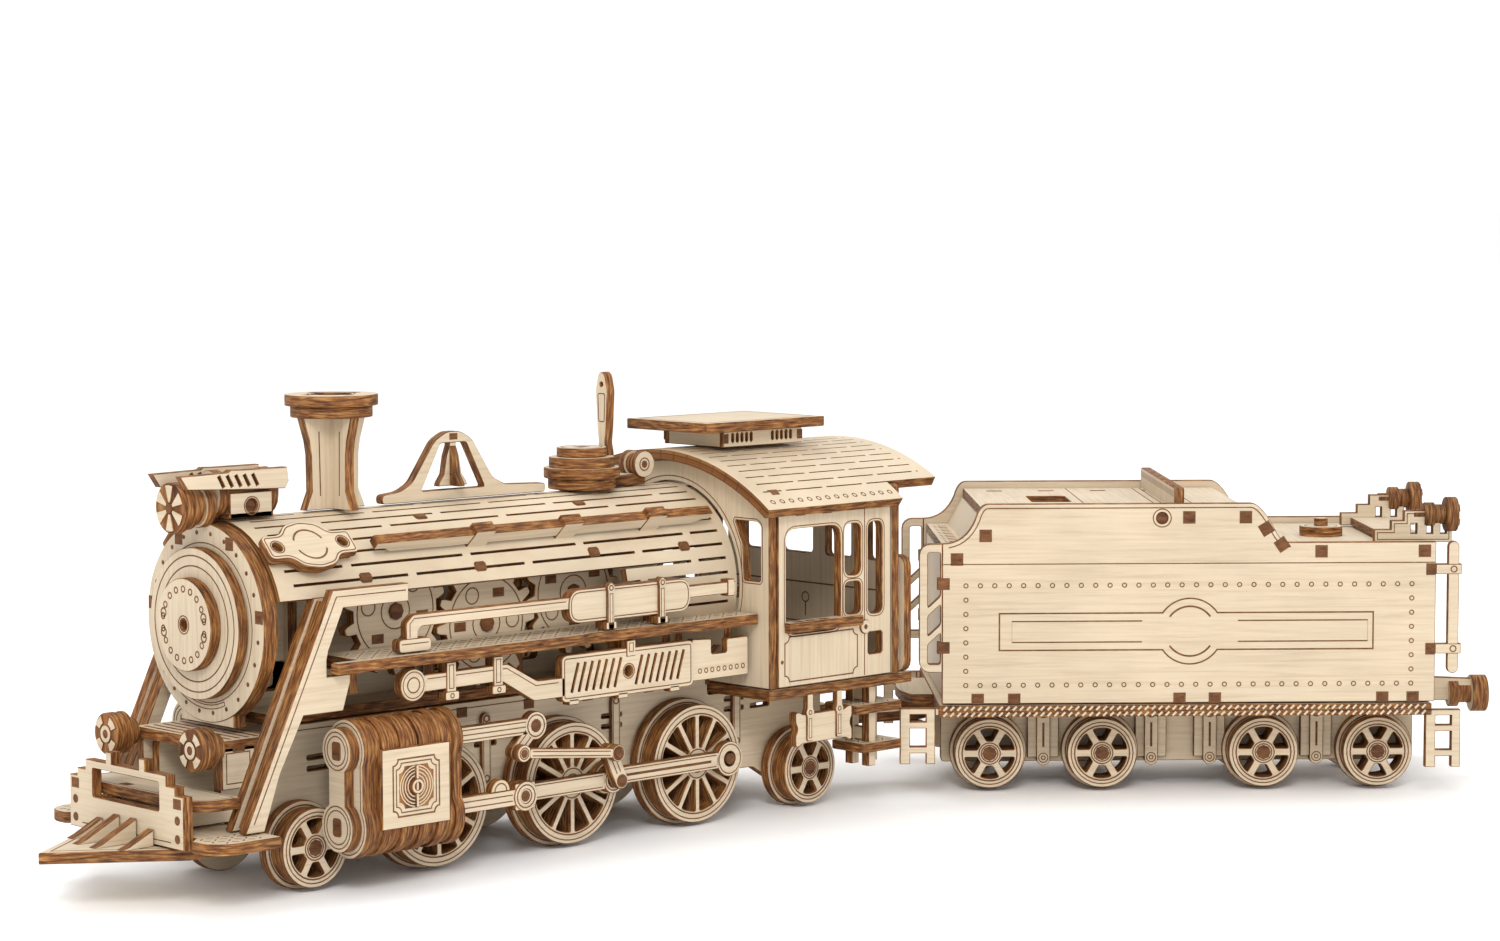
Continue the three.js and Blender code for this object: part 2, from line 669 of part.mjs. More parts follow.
function airTank(side) {
  const base = BOARD_Z + PLY + GAP;
  const tank = link([49, 45.4], [73, 45.4], 3.1);
  const strap = (x) => sideBlock(side, x, 20.8, base, x + 2.2, 23.8, 49.2);
  return join(
    sideBoard(side, tank, 21, 2.6),
    strap(54.6),
    strap(67.4),
    sideBoard(side, rectangle(10, 45, 48, 47.2), 21.4, 1.8),
    sideBoard(side, rectangle(8.4, base, 11, 47.2), 21.4, 1.8),
    sideBoard(side, rectangle(6.6, base, 15, base + 2.4), 21.2, 2.2),
    sideBoard(side, rectangle(74, 44.6, 88, 47), 21.4, 1.8),
  );
}
addPair(locomotive, 'air_tank', airTank);

function louvrePanel(side) {
  const top = BOARD_Z - GAP;
  const shape = outline([
    [9.6, 33.2], [30, 33.4], [37.6, 29], [44.2, 29], [44.2, 27.9], [77, 27.9], [77, 28.6],
    [91.6, 28.6], [91.6, 36], [77, 36.6], [44.2, 36.6], [44.2, 32.6], [38.4, 32.6], [31.4, 36.4],
    [9.6, 36.2],
  ]);
  const hanger = (x) => sideBlock(side, x, 20.8, 32.4, x + 2.2, 23.4, top);
  return join(
    sideBoard(side, shape, 21.2),
    sideBoard(side, disc(9.8, 34.7, 2.9, 16), 21.2),
    hanger(17.2),
    hanger(28),
    hanger(60),
  );
}
addPair(locomotive, 'louvre_panel', louvrePanel);

// ---------------------------------------------------------------- cab
function cabSide(side) {
  const shape = outline([
    [95.3, 25.9], [CAB.rear, 25.9], [CAB.rear, CAB.sideTop], [95.3, CAB.sideTop],
  ]);
  const windows = [
    rectangle(97.4, 36, 112.2, 56.4),
    rectangle(113.4, 46.2, 117.8, 56.4),
    rectangle(113.4, 38.6, 117.8, 45),
    rectangle(119.8, 38.2, 123.8, 56.4),
    rectangle(119.8, 30.2, 123.8, 34.6),
  ];
  return sideBoard(side, pierced(shape, ...windows), CAB.halfWidth - PLY);
}
addPair(locomotive, 'cab_side', cabSide);

function cabFront() {
  const half = CAB.halfWidth - 0.1;
  const roofInner = ROOF.radius - PLY - GAP;
  const edge = Math.asin(half / roofInner);
  const top = [];
  for (let i = 0; i <= 16; i += 1) {
    const angle = edge * (1 - i / 8);
    top.push([roofInner * Math.sin(angle), ROOF.centreZ + roofInner * Math.cos(angle)]);
  }
  const shape = outline([[-half, 25.9], [half, 25.9], ...top]);
  const dip = 0.38;
  const hole = outline(arc(0, BOILER.z, BOILER.radius + GAP, -dip, Math.PI + dip, 20));
  const window = (side) => outline([
    [20.4, 46.5], [25, 46.5], [25, 58], [17.8, 58], [20, 53.6],
  ].map(([y, z]) => [side * y, z]));
  return across(pierced(shape, hole, window(NEAR), window(FAR)), CAB.front);
}
add(locomotive, 'cab_front', cabFront());

// A rounded frame with three windows between two slanted bars. It reaches from a to b.
function railFrame(a, b, z0, z1, inner) {
  const wall = 1.7;
  const lean = Math.sign(b - a);
  const round = 1.6 * lean;
  const shape = outline([
    [a, z0], [b - round, z0], [b, z0 + 1.6], [b, z1 - 1.6], [b - round, z1], [a, z1],
  ]);
  const [left, right] = [a + inner * lean, b - wall * lean];
  const bar = 1.7;
  const drop = 2.4;
  const rows = [[z0 + wall, z0 + 5.6], [z0 + 5.6 + bar, z0 + 11.3], [z0 + 11.3 + bar, z1 - wall]];
  const windows = rows.map(([low, high], row) => outline([
    [left, low + (row ? drop : 0)], [right, low], [right, high], [left, high + (row < 2 ? drop : 0)],
  ]));
  return pierced(shape, ...windows);
}

// Arched board behind the cab with five openings above its sill. Its shoulders stand behind the
// roof's wide part, and its middle fits under the overhang.
function rearWall() {
  const half = CAB.halfWidth - 0.1;
  const middle = ROOF.radius - PLY - GAP;
  const shoulder = ROOF.radius - 0.2;
  const step = ROOF.tailAngle + THREE.MathUtils.degToRad(0.6);
  const edge = Math.asin(half / shoulder);
  const rim = (radius, angle) => [radius * Math.sin(angle), ROOF.centreZ + radius * Math.cos(angle)];
  const corner = [edge, (edge + step) / 2, step];
  const top = corner.map((angle) => rim(shoulder, angle));
  for (let i = 0; i <= 8; i += 1) {
    top.push(rim(middle, step * (1 - i / 4)));
  }
  top.push(...corner.reverse().map((angle) => rim(shoulder, -angle)));
  const { x, sill } = REAR_WALL;
  const openings = [rectangle(-4.8, sill, 4.8, 62)];
  for (const side of [NEAR, FAR]) {
    openings.push(
      rectangle(8.6 * side, sill, 15.7 * side, 60),
      rectangle(20.2 * side, sill, 23.6 * side, 56.5),
    );
  }
  const shape = outline([[-half, CAB.floor + 1], [half, CAB.floor + 1], ...top]);
  const board = across(shape, x);
  return cut(board, ...openings.map((opening) => across(opening, x - 1, PLY + 2)));
}

// The floor also carries the rear wall, the firebox end, the rear handrail frames, the steps, the
// tool boxes and the drawbar's tongue.
function cabFloor() {
  const { front, floor, halfWidth } = CAB;
  const { rear, halfWidth: boxHalf, top } = BACKHEAD;
  const pieces = [
    flat(rectangle(front, -halfWidth, HANDRAIL_X + PLY, halfWidth), floor),
    block(front + PLY + 0.4, -boxHalf, floor + 1, rear, boxHalf, top),
    rearWall(),
  ];
  for (const side of [NEAR, FAR]) {
    pieces.push(
      across(railFrame(19.4 * side, halfWidth * side, floor + 1, 48.9, 2), HANDRAIL_X),
      sideBlock(side, 116.6, 18.2, 18.4, 129.6, halfWidth, 20.2),
      sideBlock(side, 113.4, 18.2, 10.6, 129.6, halfWidth, 12.4),
      sideBlock(side, 121.4, 19.4, 7.6, 123.4, 26, floor + 0.5),
      sideBlock(side, 127.4, 19.4, 7.6, 128.6, 21.4, floor + 0.5),
      sideBlock(side, 100, 25.4, 13.9, 115.4, halfWidth, 20.6),
      sideBlock(side, 102.6, 25.8, 20, 104.6, 27, floor + 0.5),
      sideBlock(side, 110.6, 25.8, 20, 112.6, 27, floor + 0.5),
    );
  }
  pieces.push(
    block(125.2, -6, 14.4, 127.2, 6, floor + 0.5),
    flat(link([126, 0], [DRAWBAR_PIN_X, 0], 3), 14.4),
    upright(PIN_R, DRAWBAR_PIN_X, 10.4, 15),
    upright(2.2, DRAWBAR_PIN_X, 10, 11.4),
  );
  return join(...pieces);
}

function upright(radius, x, z0, z1) {
  const pin = new THREE.CylinderGeometry(radius, radius, z1 - z0, 10).rotateX(Math.PI / 2);
  return pin.translate(x, 0, (z0 + z1) / 2);
}
add(locomotive, 'cab_floor', cabFloor());

function cabRoof() {
  const { radius, centreZ, front, tail, rear, halfAngle, tailAngle } = ROOF;
  const band = archBand(centreZ, radius, radius - PLY, halfAngle, 18);
  const overhang = archBand(centreZ, radius, radius - PLY, tailAngle, 12);
  return join(across(band, front, tail - front), across(overhang, tail - 1, rear - tail + 1));
}
add(locomotive, 'cab_roof', cabRoof());

function roofVent() {
  return join(
    flat(rectangle(91.4, -11.6, 123.3, 11.6), 74.3),
    block(98.6, -8.6, ROOF.centreZ + ROOF.radius + GAP, 120, 8.6, 74.8),
  );
}
add(locomotive, 'roof_vent', roofVent());

// ---------------------------------------------------------------- drawbar
const PIVOT_B = [
  TENDER_AT.x + TENDER_PIN_X * Math.cos(TENDER_AT.turn),
  TENDER_AT.y + TENDER_PIN_X * Math.sin(TENDER_AT.turn),
];

function drawbar() {
  const ends = [[DRAWBAR_PIN_X, 0], PIVOT_B];
  const holes = ends.map(([x, y]) => disc(x, y, PIN_HOLE_R));
  return flat(pierced(link(...ends, 2.8), ...holes), 12);
}
add(locomotive, 'drawbar', drawbar(), TAN);

// ---------------------------------------------------------------- tender
function tenderSide(side) {
  const { length, low, high, floor } = TENDER;
  const shape = new THREE.Shape();
  shape.moveTo(0, floor + GAP);
  shape.lineTo(length, floor + GAP);
  shape.lineTo(length, low);
  shape.lineTo(69.6, low);
  shape.quadraticCurveTo(67.6, low, 66.4, low + 2.6);
  shape.quadraticCurveTo(63.6, high, 61.6, high);
  shape.lineTo(9.2, high);
  shape.quadraticCurveTo(7.4, high, 6.6, high - 3);
  shape.quadraticCurveTo(4.6, low, 0, low);
  const board = (part) => sideBoard(side, part, TENDER.halfWidth - PLY);
  const post = link([TENDER_POST.x, TENDER_POST.low], [TENDER_POST.x, TENDER_POST.high], 1.15, 6);
  const clamp = (z) => rectangle(length - 1, z, TENDER_POST.x + 1.6, z + PLY);
  return join(
    board(shape),
    board(railFrame(1, -4.6, 25.2, low, 1.2)),
    board(post),
    board(clamp(28.5)),
    board(clamp(44.5)),
  );
}
addPair(tender, 'tender_side', tenderSide);

// Front wall, decks and rear wall, folded from one run of boards between the sides.
function tenderCasing() {
  const outer = [
    [0.6, 18.9], [0.6, 49.6], [5.4, 50.6], [8.4, 57.4], [61.8, 57.4], [68, 49.6], [98.1, 49.6],
    [98.1, 18.9],
  ];
  const inner = [
    [96.1, 18.9], [96.1, 47.6], [67, 47.6], [60.8, 55.4], [9.8, 55.4], [7, 49.2], [2.6, 47.8],
    [2.6, 18.9],
  ];
  const half = TENDER.halfWidth - PLY - GAP;
  return join(
    along(outline([...outer, ...inner]), -half, 2 * half),
    across(rectangle(-half, 56, half, 62.6), 46.5),
    revolve([[0, 49], [4.4, 49], [4.4, 51.6], [1.4, 51.6], [1.4, 53.2], [0, 53.2]], 80.6, 16),
  );
}
add(tender, 'tender_casing', tenderCasing());

// Two stacks of discs on stepped stands that share one base board.
function tenderLamps() {
  const base = TENDER.low - 1;
  const { y, z, rear } = TENDER_LAMP;
  const stand = outline([
    [88, base], [rear - 1, base], [rear - 1, 54], [rear - 5, 56.4], [94, 56.4], [94, 54.4],
    [91.4, 54.4], [91.4, 52.6], [88, 52.6],
  ]);
  const pieces = [flat(rectangle(90, -y - 1, 98, y + 1), base, 1.6)];
  for (const side of [NEAR, FAR]) {
    pieces.push(
      sideBoard(side, stand, y - 1),
      across(disc(side * y, z, 3.5, 20), rear - 2.4, 2.4),
      across(disc(side * y, z, 2.4, 16), rear - 6.6, 4.4),
      across(disc(side * y, z, 1.1, 8), rear - 8.8, 2.6),
    );
  }
  return join(...pieces);
}
add(tender, 'tender_lamps', tenderLamps(), TAN);

// A ladder seen face on, 7 mm wide, with its lower rungs left out.
function ladder(x, z0, z1) {
  const frame = outline([
    [x, z0], [x + 2, z0], [x + 2, z0 + 2.2], [x + 5.2, z0 + 2.2], [x + 5.2, z0], [x + 7, z0],
    [x + 7, z1], [x, z1],
  ]);
  const gap = (low, high) => rectangle(x + 2, low, x + 5.2, high);
  return pierced(frame, gap(z0 + 3.5, z0 + 7.2), gap(z0 + 8.5, z1 - 1.2));
}

function tenderChassis() {
  const { length, halfWidth, floor } = TENDER;
  const pieces = [
    flat(rectangle(-0.6, -halfWidth - 0.6, length - 0.6, halfWidth + 0.6), floor - 2.4, 2.4),
    flat(link([TENDER_PIN_X, 0], [6, 0], 3), 14.4, 2.2),
    upright(PIN_R, TENDER_PIN_X, 10.4, 15),
    upright(2.2, TENDER_PIN_X, 10, 11.4),
  ];
  const holes = TENDER_WHEELS.map((x) => disc(x, SMALL.radius, AXLE_R + AXLE_PLAY, 8));
  const plate = outline([[1, 4.4], [98, 4.4], [98, floor - 2], [1, floor - 2]]);
  const struts = [21.9, 44, 56, 77.9];
  for (const side of [NEAR, FAR]) {
    pieces.push(sideBoard(side, pierced(plate.clone(), ...holes), FRAME_Y));
    for (const x of struts) {
      pieces.push(sideBlock(side, x - 1.4, FRAME_Y + 1.6, 3.6, x + 1.4, FRAME_Y + 4, floor - 2));
    }
    pieces.push(
      sideBoard(side, ladder(97, 5.6, floor - 1.4), halfWidth - PLY),
      sideBoard(side, ladder(-8.4, 6.8, floor - 0.6), halfWidth - PLY),
      sideBoard(side, rectangle(-2, floor - 2, 1, floor - 0.6), halfWidth - PLY),
    );
  }
  const gusset = outline([
    [96, 16.6], [98.6, 15.4], [BUFFER.front + 1, 14.8], [BUFFER.front + 1, 19.6], [104, 20],
    [101, 22.4], [99, 27.6], [99, floor - 0.4], [96, floor - 0.4],
  ]);
  const front = arc(0, 0, 9, 0.75 * Math.PI, 1.25 * Math.PI, 8);
  const apron = outline([
    ...front.map(([x, y]) => [x + 1.4, 1.9 * y]),
    [0.4, -12.1], [0.4, 12.1],
  ]);
  pieces.push(
    along(gusset, -PLY / 2),
    across(disc(0, BUFFER.z, BUFFER.radius, 20), BUFFER.front, BUFFER.depth),
    across(disc(0, BUFFER.z, 2, 12), BUFFER.front - 2.6, 3),
    flat(apron, floor - 2, PLY),
  );
  return join(...pieces);
}
add(tender, 'tender_chassis', tenderChassis());

TENDER_WHEELS.forEach((x, index) => {
  addWheelset(tender, `tender_wheelset_${index + 1}`, x, SMALL);
});

// ---------------------------------------------------------------- assembly
tender.position.set(TENDER_AT.x, TENDER_AT.y, 0);
tender.rotation.z = TENDER_AT.turn;
model.add(locomotive, tender);
model.position.set(-FOOTPRINT.x, -FOOTPRINT.y, FLANGE);

export default model;
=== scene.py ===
"""Wooden steam locomotive puzzle model: laser-cut birch plywood boards, engraved and stacked.

Shapes are written in millimetres in two frames: the locomotive's (front towards -X, wheels on
z = 0) and the tender's own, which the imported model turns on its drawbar.
"""
import math

import bpy
from mathutils import Matrix, Vector
from mathutils.geometry import tessellate_polygon


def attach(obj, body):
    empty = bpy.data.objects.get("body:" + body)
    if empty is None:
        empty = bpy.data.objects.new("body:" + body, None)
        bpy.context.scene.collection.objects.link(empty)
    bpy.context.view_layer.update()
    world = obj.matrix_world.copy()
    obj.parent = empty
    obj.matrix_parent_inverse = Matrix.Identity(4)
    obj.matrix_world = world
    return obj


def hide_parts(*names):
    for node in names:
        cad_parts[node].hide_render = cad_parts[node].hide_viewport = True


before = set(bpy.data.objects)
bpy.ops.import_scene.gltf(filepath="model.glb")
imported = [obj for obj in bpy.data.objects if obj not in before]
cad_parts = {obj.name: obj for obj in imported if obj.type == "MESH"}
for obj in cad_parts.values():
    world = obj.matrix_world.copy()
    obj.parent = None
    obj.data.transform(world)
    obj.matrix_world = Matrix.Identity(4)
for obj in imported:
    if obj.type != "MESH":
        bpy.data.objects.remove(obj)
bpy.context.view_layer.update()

# ---------------------------------------------------------------- frames and dimensions
MM = 0.001
FOOTPRINT = (99.349, -35.235, -0.8)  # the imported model's origin, in the locomotive's frame
TENDER_AT, TENDER_TURN = (155.84, -10.51), math.radians(-42.27)
LOCO = Matrix.Translation([-c * MM for c in FOOTPRINT])
TENDER = (LOCO @ Matrix.Translation((TENDER_AT[0] * MM, TENDER_AT[1] * MM, 0))
          @ Matrix.Rotation(TENDER_TURN, 4, "Z"))
SIDES = (("near", -1), ("far", 1))

PLY = 2.0
GAP = 0.3
CHAMFER = 0.14  # scorched rim of every laser cut
FACE, EDGE, BURN, DARK = range(4)

WHEEL_FACE = 16.8
WHEEL_BOARDS = (10.8, 12.8, 14.8)  # inner faces: flange, middle disc, tread
DRIVER = {"r": 11.4, "spokes": 12, "rim": 2.2, "hub": 2.8, "width": 1.1}
SMALL = {"r": 7.05, "spokes": 6, "rim": 1.9, "hub": 2.2, "width": 1.5}
DRIVER_X = {"front": 20.4, "middle": 52.1, "rear": 83.8}
LEADING_X, TRAILING_X = -7.2, 114.2
TENDER_AXLES_X = (10.5, 33.4, 66.3, 89.6)
AXLE_BORE = 1.95
LAYER = {"side": 17.2, "main": 19.4, "cross": 21.6, "eccentric": 23.8}
LAYER_T = 1.8
CRANK = (6.5 * math.cos(math.radians(4)), 6.5 * math.sin(math.radians(4)))
ECCENTRIC = (3.8, 6.2)
CROSSHEAD = (35.2, 11.4 + CRANK[1])
BOILER_Z, BOILER_R, BOILER_SKIN = 45.5, 18.7, 1.5
RIDGE = BOILER_Z + BOILER_R + GAP
BOARD_Z = 38.3
CAB_FRONT, CAB_REAR, CAB_HALF, HANDRAIL_X = 92.9, 126.1, 27.4, 130.1
ROOF_R, ROOF_Z, ROOF_HALF = 52.0, 18.8, math.radians(36)
ROOF_FRONT, ROOF_TAIL, ROOF_REAR, TAIL_HALF = 89.8, 126.4, 140.6, math.radians(30)
TONGUE = (131, 0)  # the drawbar's pin under the cab
TENDER_L, TENDER_HALF = 98.7, 27.8


# ---------------------------------------------------------------- materials
def node(tree, kind, inputs=None, **settings):
    made = tree.nodes.new(kind)
    for key, value in settings.items():
        setattr(made, key, value)
    for key, value in (inputs or {}).items():
        if isinstance(value, bpy.types.NodeSocket):
            tree.links.new(value, made.inputs[key])
        else:
            made.inputs[key].default_value = value
    return made


def ramp(tree, factor, stops):
    made = node(tree, "ShaderNodeValToRGB", {"Fac": factor})
    elements = made.color_ramp.elements
    while len(elements) < len(stops):
        elements.new(0.5)
    for element, (place, color) in zip(elements, stops):
        element.position = place
        element.color = (*color, 1)
    return made.outputs["Color"]


def wood(name, scale, stops, blotch, roughness, bump):
    """Wood whose grain runs along the board's own u direction."""
    material = bpy.data.materials.new(name)
    material.use_nodes = True
    tree = material.node_tree
    shader = tree.nodes["Principled BSDF"]
    uv = node(tree, "ShaderNodeTexCoord").outputs["UV"]
    place = node(tree, "ShaderNodeMapping", {"Vector": uv, "Scale": (scale[0], scale[1], 1)})
    grain = node(tree, "ShaderNodeTexNoise",
                 {"Vector": place.outputs[0], "Scale": 1.0, "Detail": 6.0, "Roughness": 0.62,
                  "Distortion": 0.35})
    spots = node(tree, "ShaderNodeTexNoise",
                 {"Vector": node(tree, "ShaderNodeTexCoord").outputs["Object"], "Scale": 55.0,
                  "Detail": 3.0})
    color = ramp(tree, grain.outputs["Fac"], stops)
    shade = node(tree, "ShaderNodeMapRange",
                 {"Value": spots.outputs["Fac"], "From Min": 0.3, "From Max": 0.7,
                  "To Min": 1 - blotch, "To Max": 1 + blotch * 0.4})
    tinted = node(tree, "ShaderNodeVectorMath", {0: color, 1: shade.outputs[0]},
                  operation="MULTIPLY")
    tree.links.new(tinted.outputs[0], shader.inputs["Base Color"])
    shader.inputs["Roughness"].default_value = roughness
    shader.inputs["Specular IOR Level"].default_value = 0.3
    relief = node(tree, "ShaderNodeBump",
                  {"Height": grain.outputs["Fac"], "Strength": bump, "Distance": 0.0001})
    tree.links.new(relief.outputs[0], shader.inputs["Normal"])
    return material


FACE_MAT = wood("birch_face", (5, 130), [(0.30, (0.49, 0.385, 0.264)), (0.50, (0.57, 0.462, 0.326)),
                                         (0.72, (0.615, 0.508, 0.37))], 0.08, 0.55, 0.25)
EDGE_MAT = wood("laser_edge", (26, 5.0), [(0.34, (0.04, 0.011, 0.003)),
                                          (0.50, (0.185, 0.066, 0.015)),
                                          (0.70, (0.45, 0.225, 0.068))], 0.35, 0.66, 0.6)
BURN_MAT = wood("engraved_line", (60, 60), [(0.3, (0.085, 0.032, 0.012)),
                                            (0.7, (0.22, 0.098, 0.035))], 0.2, 0.75, 0.3)
# Dark dowel and tab ends, also used as painted shade where a disc of it fills the bottom of a hole.
DARK_MAT = wood("plug_end_and_hole_shade", (30, 90), [(0.3, (0.055, 0.02, 0.008)), (0.7, (0.22, 0.085, 0.026))],
                0.3, 0.7, 0.5)
MATERIALS = (FACE_MAT, EDGE_MAT, BURN_MAT, DARK_MAT)


# ---------------------------------------------------------------- flat shapes
def arc(a, b, r, start, end, steps):
    return [(a + r * math.cos(start + (end - start) * i / steps),
             b + r * math.sin(start + (end - start) * i / steps)) for i in range(steps + 1)]


def circle(a, b, r, steps=0):
    steps = steps or max(12, min(64, int(8 + r * 4)))
    return arc(a, b, r, 0, 2 * math.pi, steps)[:-1]


def rect(a0, b0, a1, b1):
    return [(a0, b0), (a1, b0), (a1, b1), (a0, b1)]


def area(loop):
    return sum(p[0] * q[1] - q[0] * p[1] for p, q in zip(loop, loop[1:] + loop[:1])) / 2


def turned(loop, sign):
    return list(loop) if area(loop) * sign > 0 else list(loop)[::-1]


def inset(loop, d):
    """The loop drawn in by d, whichever way round it runs."""
    return offset(turned(loop, 1), d)


def span(s, a, b):
    """The y range from a to b on side s, lowest first."""
    return sorted((s * a, s * b))


def soften(loop, r, steps=4):
    """The loop with its corners rounded."""
    out = []
    count = len(loop)
    for i, here in enumerate(loop):
        here = Vector(here)
        back = Vector(loop[i - 1]) - here
        ahead = Vector(loop[(i + 1) % count]) - here
        reach = min(r, back.length * 0.45, ahead.length * 0.45)
        p = here + back.normalized() * reach
        q = here + ahead.normalized() * reach
        for k in range(steps + 1):
            t = k / steps
            out.append(tuple(p * (1 - t) ** 2 + here * 2 * t * (1 - t) + q * t * t))
    return out


def rounded(a0, b0, a1, b1, r, steps=4):
    return soften(rect(a0, b0, a1, b1), r, steps)


def notched(a0, b0, a1, b1, r):
    """A rectangle with concave quarter-round corners."""
    quarter = math.pi / 2
    return (arc(a0, b0, r, quarter, 0, 5) + arc(a1, b0, r, 2 * quarter, quarter, 5)
            + arc(a1, b1, r, 3 * quarter, 2 * quarter, 5) + arc(a0, b1, r, 4 * quarter, 3 * quarter,
                                                                5))


def link(p, q, r, steps=8):
    heading = math.atan2(q[1] - p[1], q[0] - p[0])
    quarter = math.pi / 2
    return (arc(*q, r, heading - quarter, heading + quarter, steps)
            + arc(*p, r, heading + quarter, heading + 3 * quarter, steps))


def rail_frame(a, b, z0, z1, inner):
    """A rounded frame from a to b, and its three windows between two slanted bars."""
    lean = 1 if b > a else -1
    wall, r, drop, quarter = 1.7, 2.2, 2.4, math.pi / 2
    outer = ([(a * lean, z0)] + arc(b * lean - r, z0 + r, r, -quarter, 0, 4)
             + arc(b * lean - r, z1 - r, r, 0, quarter, 4) + [(a * lean, z1)])
    left, right = a + inner * lean, b - wall * lean
    windows = []
    for row, (low, high) in enumerate(((z0 + wall, z0 + 5.6), (z0 + 7.3, z0 + 11.3),
                                       (z0 + 13, z1 - wall))):
        windows.append(soften([(left, low + (drop if row else 0)), (right, low), (right, high),
                               (left, high + (drop if row < 2 else 0))], 0.5, 2))
    return [(lean * p, q) for p, q in outer], windows


def ladder(x, z0, z1):
    """A ladder's outline, 7 mm wide and open at the foot, and the gaps between its rungs."""
    outer = [(x, z0), (x + 2, z0), (x + 2, z0 + 2.2), (x + 5.2, z0 + 2.2), (x + 5.2, z0),
             (x + 7, z0), (x + 7, z1), (x, z1)]
    return outer, [rect(x + 2, z0 + 3.5, x + 5.2, z0 + 7.2), rect(x + 2, z0 + 8.5, x + 5.2,
                                                                  z1 - 1.2)]


def offset(loop, d):
    """The closed loop moved by d to the left of its travel."""
    out = []
    count = len(loop)
    for i, (x, y) in enumerate(loop):
        px, py = loop[i - 1]
        nx, ny = loop[(i + 1) % count]
        ax, ay, bx, by = x - px, y - py, nx - x, ny - y
        la = math.hypot(ax, ay) or 1e-9
        lb = math.hypot(bx, by) or 1e-9
        ux, uy, vx, vy = -ay / la, ax / la, -by / lb, bx / lb
        k = d / max(1 + ux * vx + uy * vy, 0.3)
        out.append((x + (ux + vx) * k, y + (uy + vy) * k))
    return out


def ribbon(points, width):
    """The outline of an open line of that width."""
    left, right = [], []
    last = len(points) - 1
    for i, (x, y) in enumerate(points):
        ax, ay = points[max(i - 1, 0)]
        bx, by = points[min(i + 1, last)]
        length = math.hypot(bx - ax, by - ay) or 1e-9
        nx, ny = -(by - ay) / length * width / 2, (bx - ax) / length * width / 2
        left.append((x + nx, y + ny))
        right.append((x - nx, y - ny))
    return right + left[::-1]


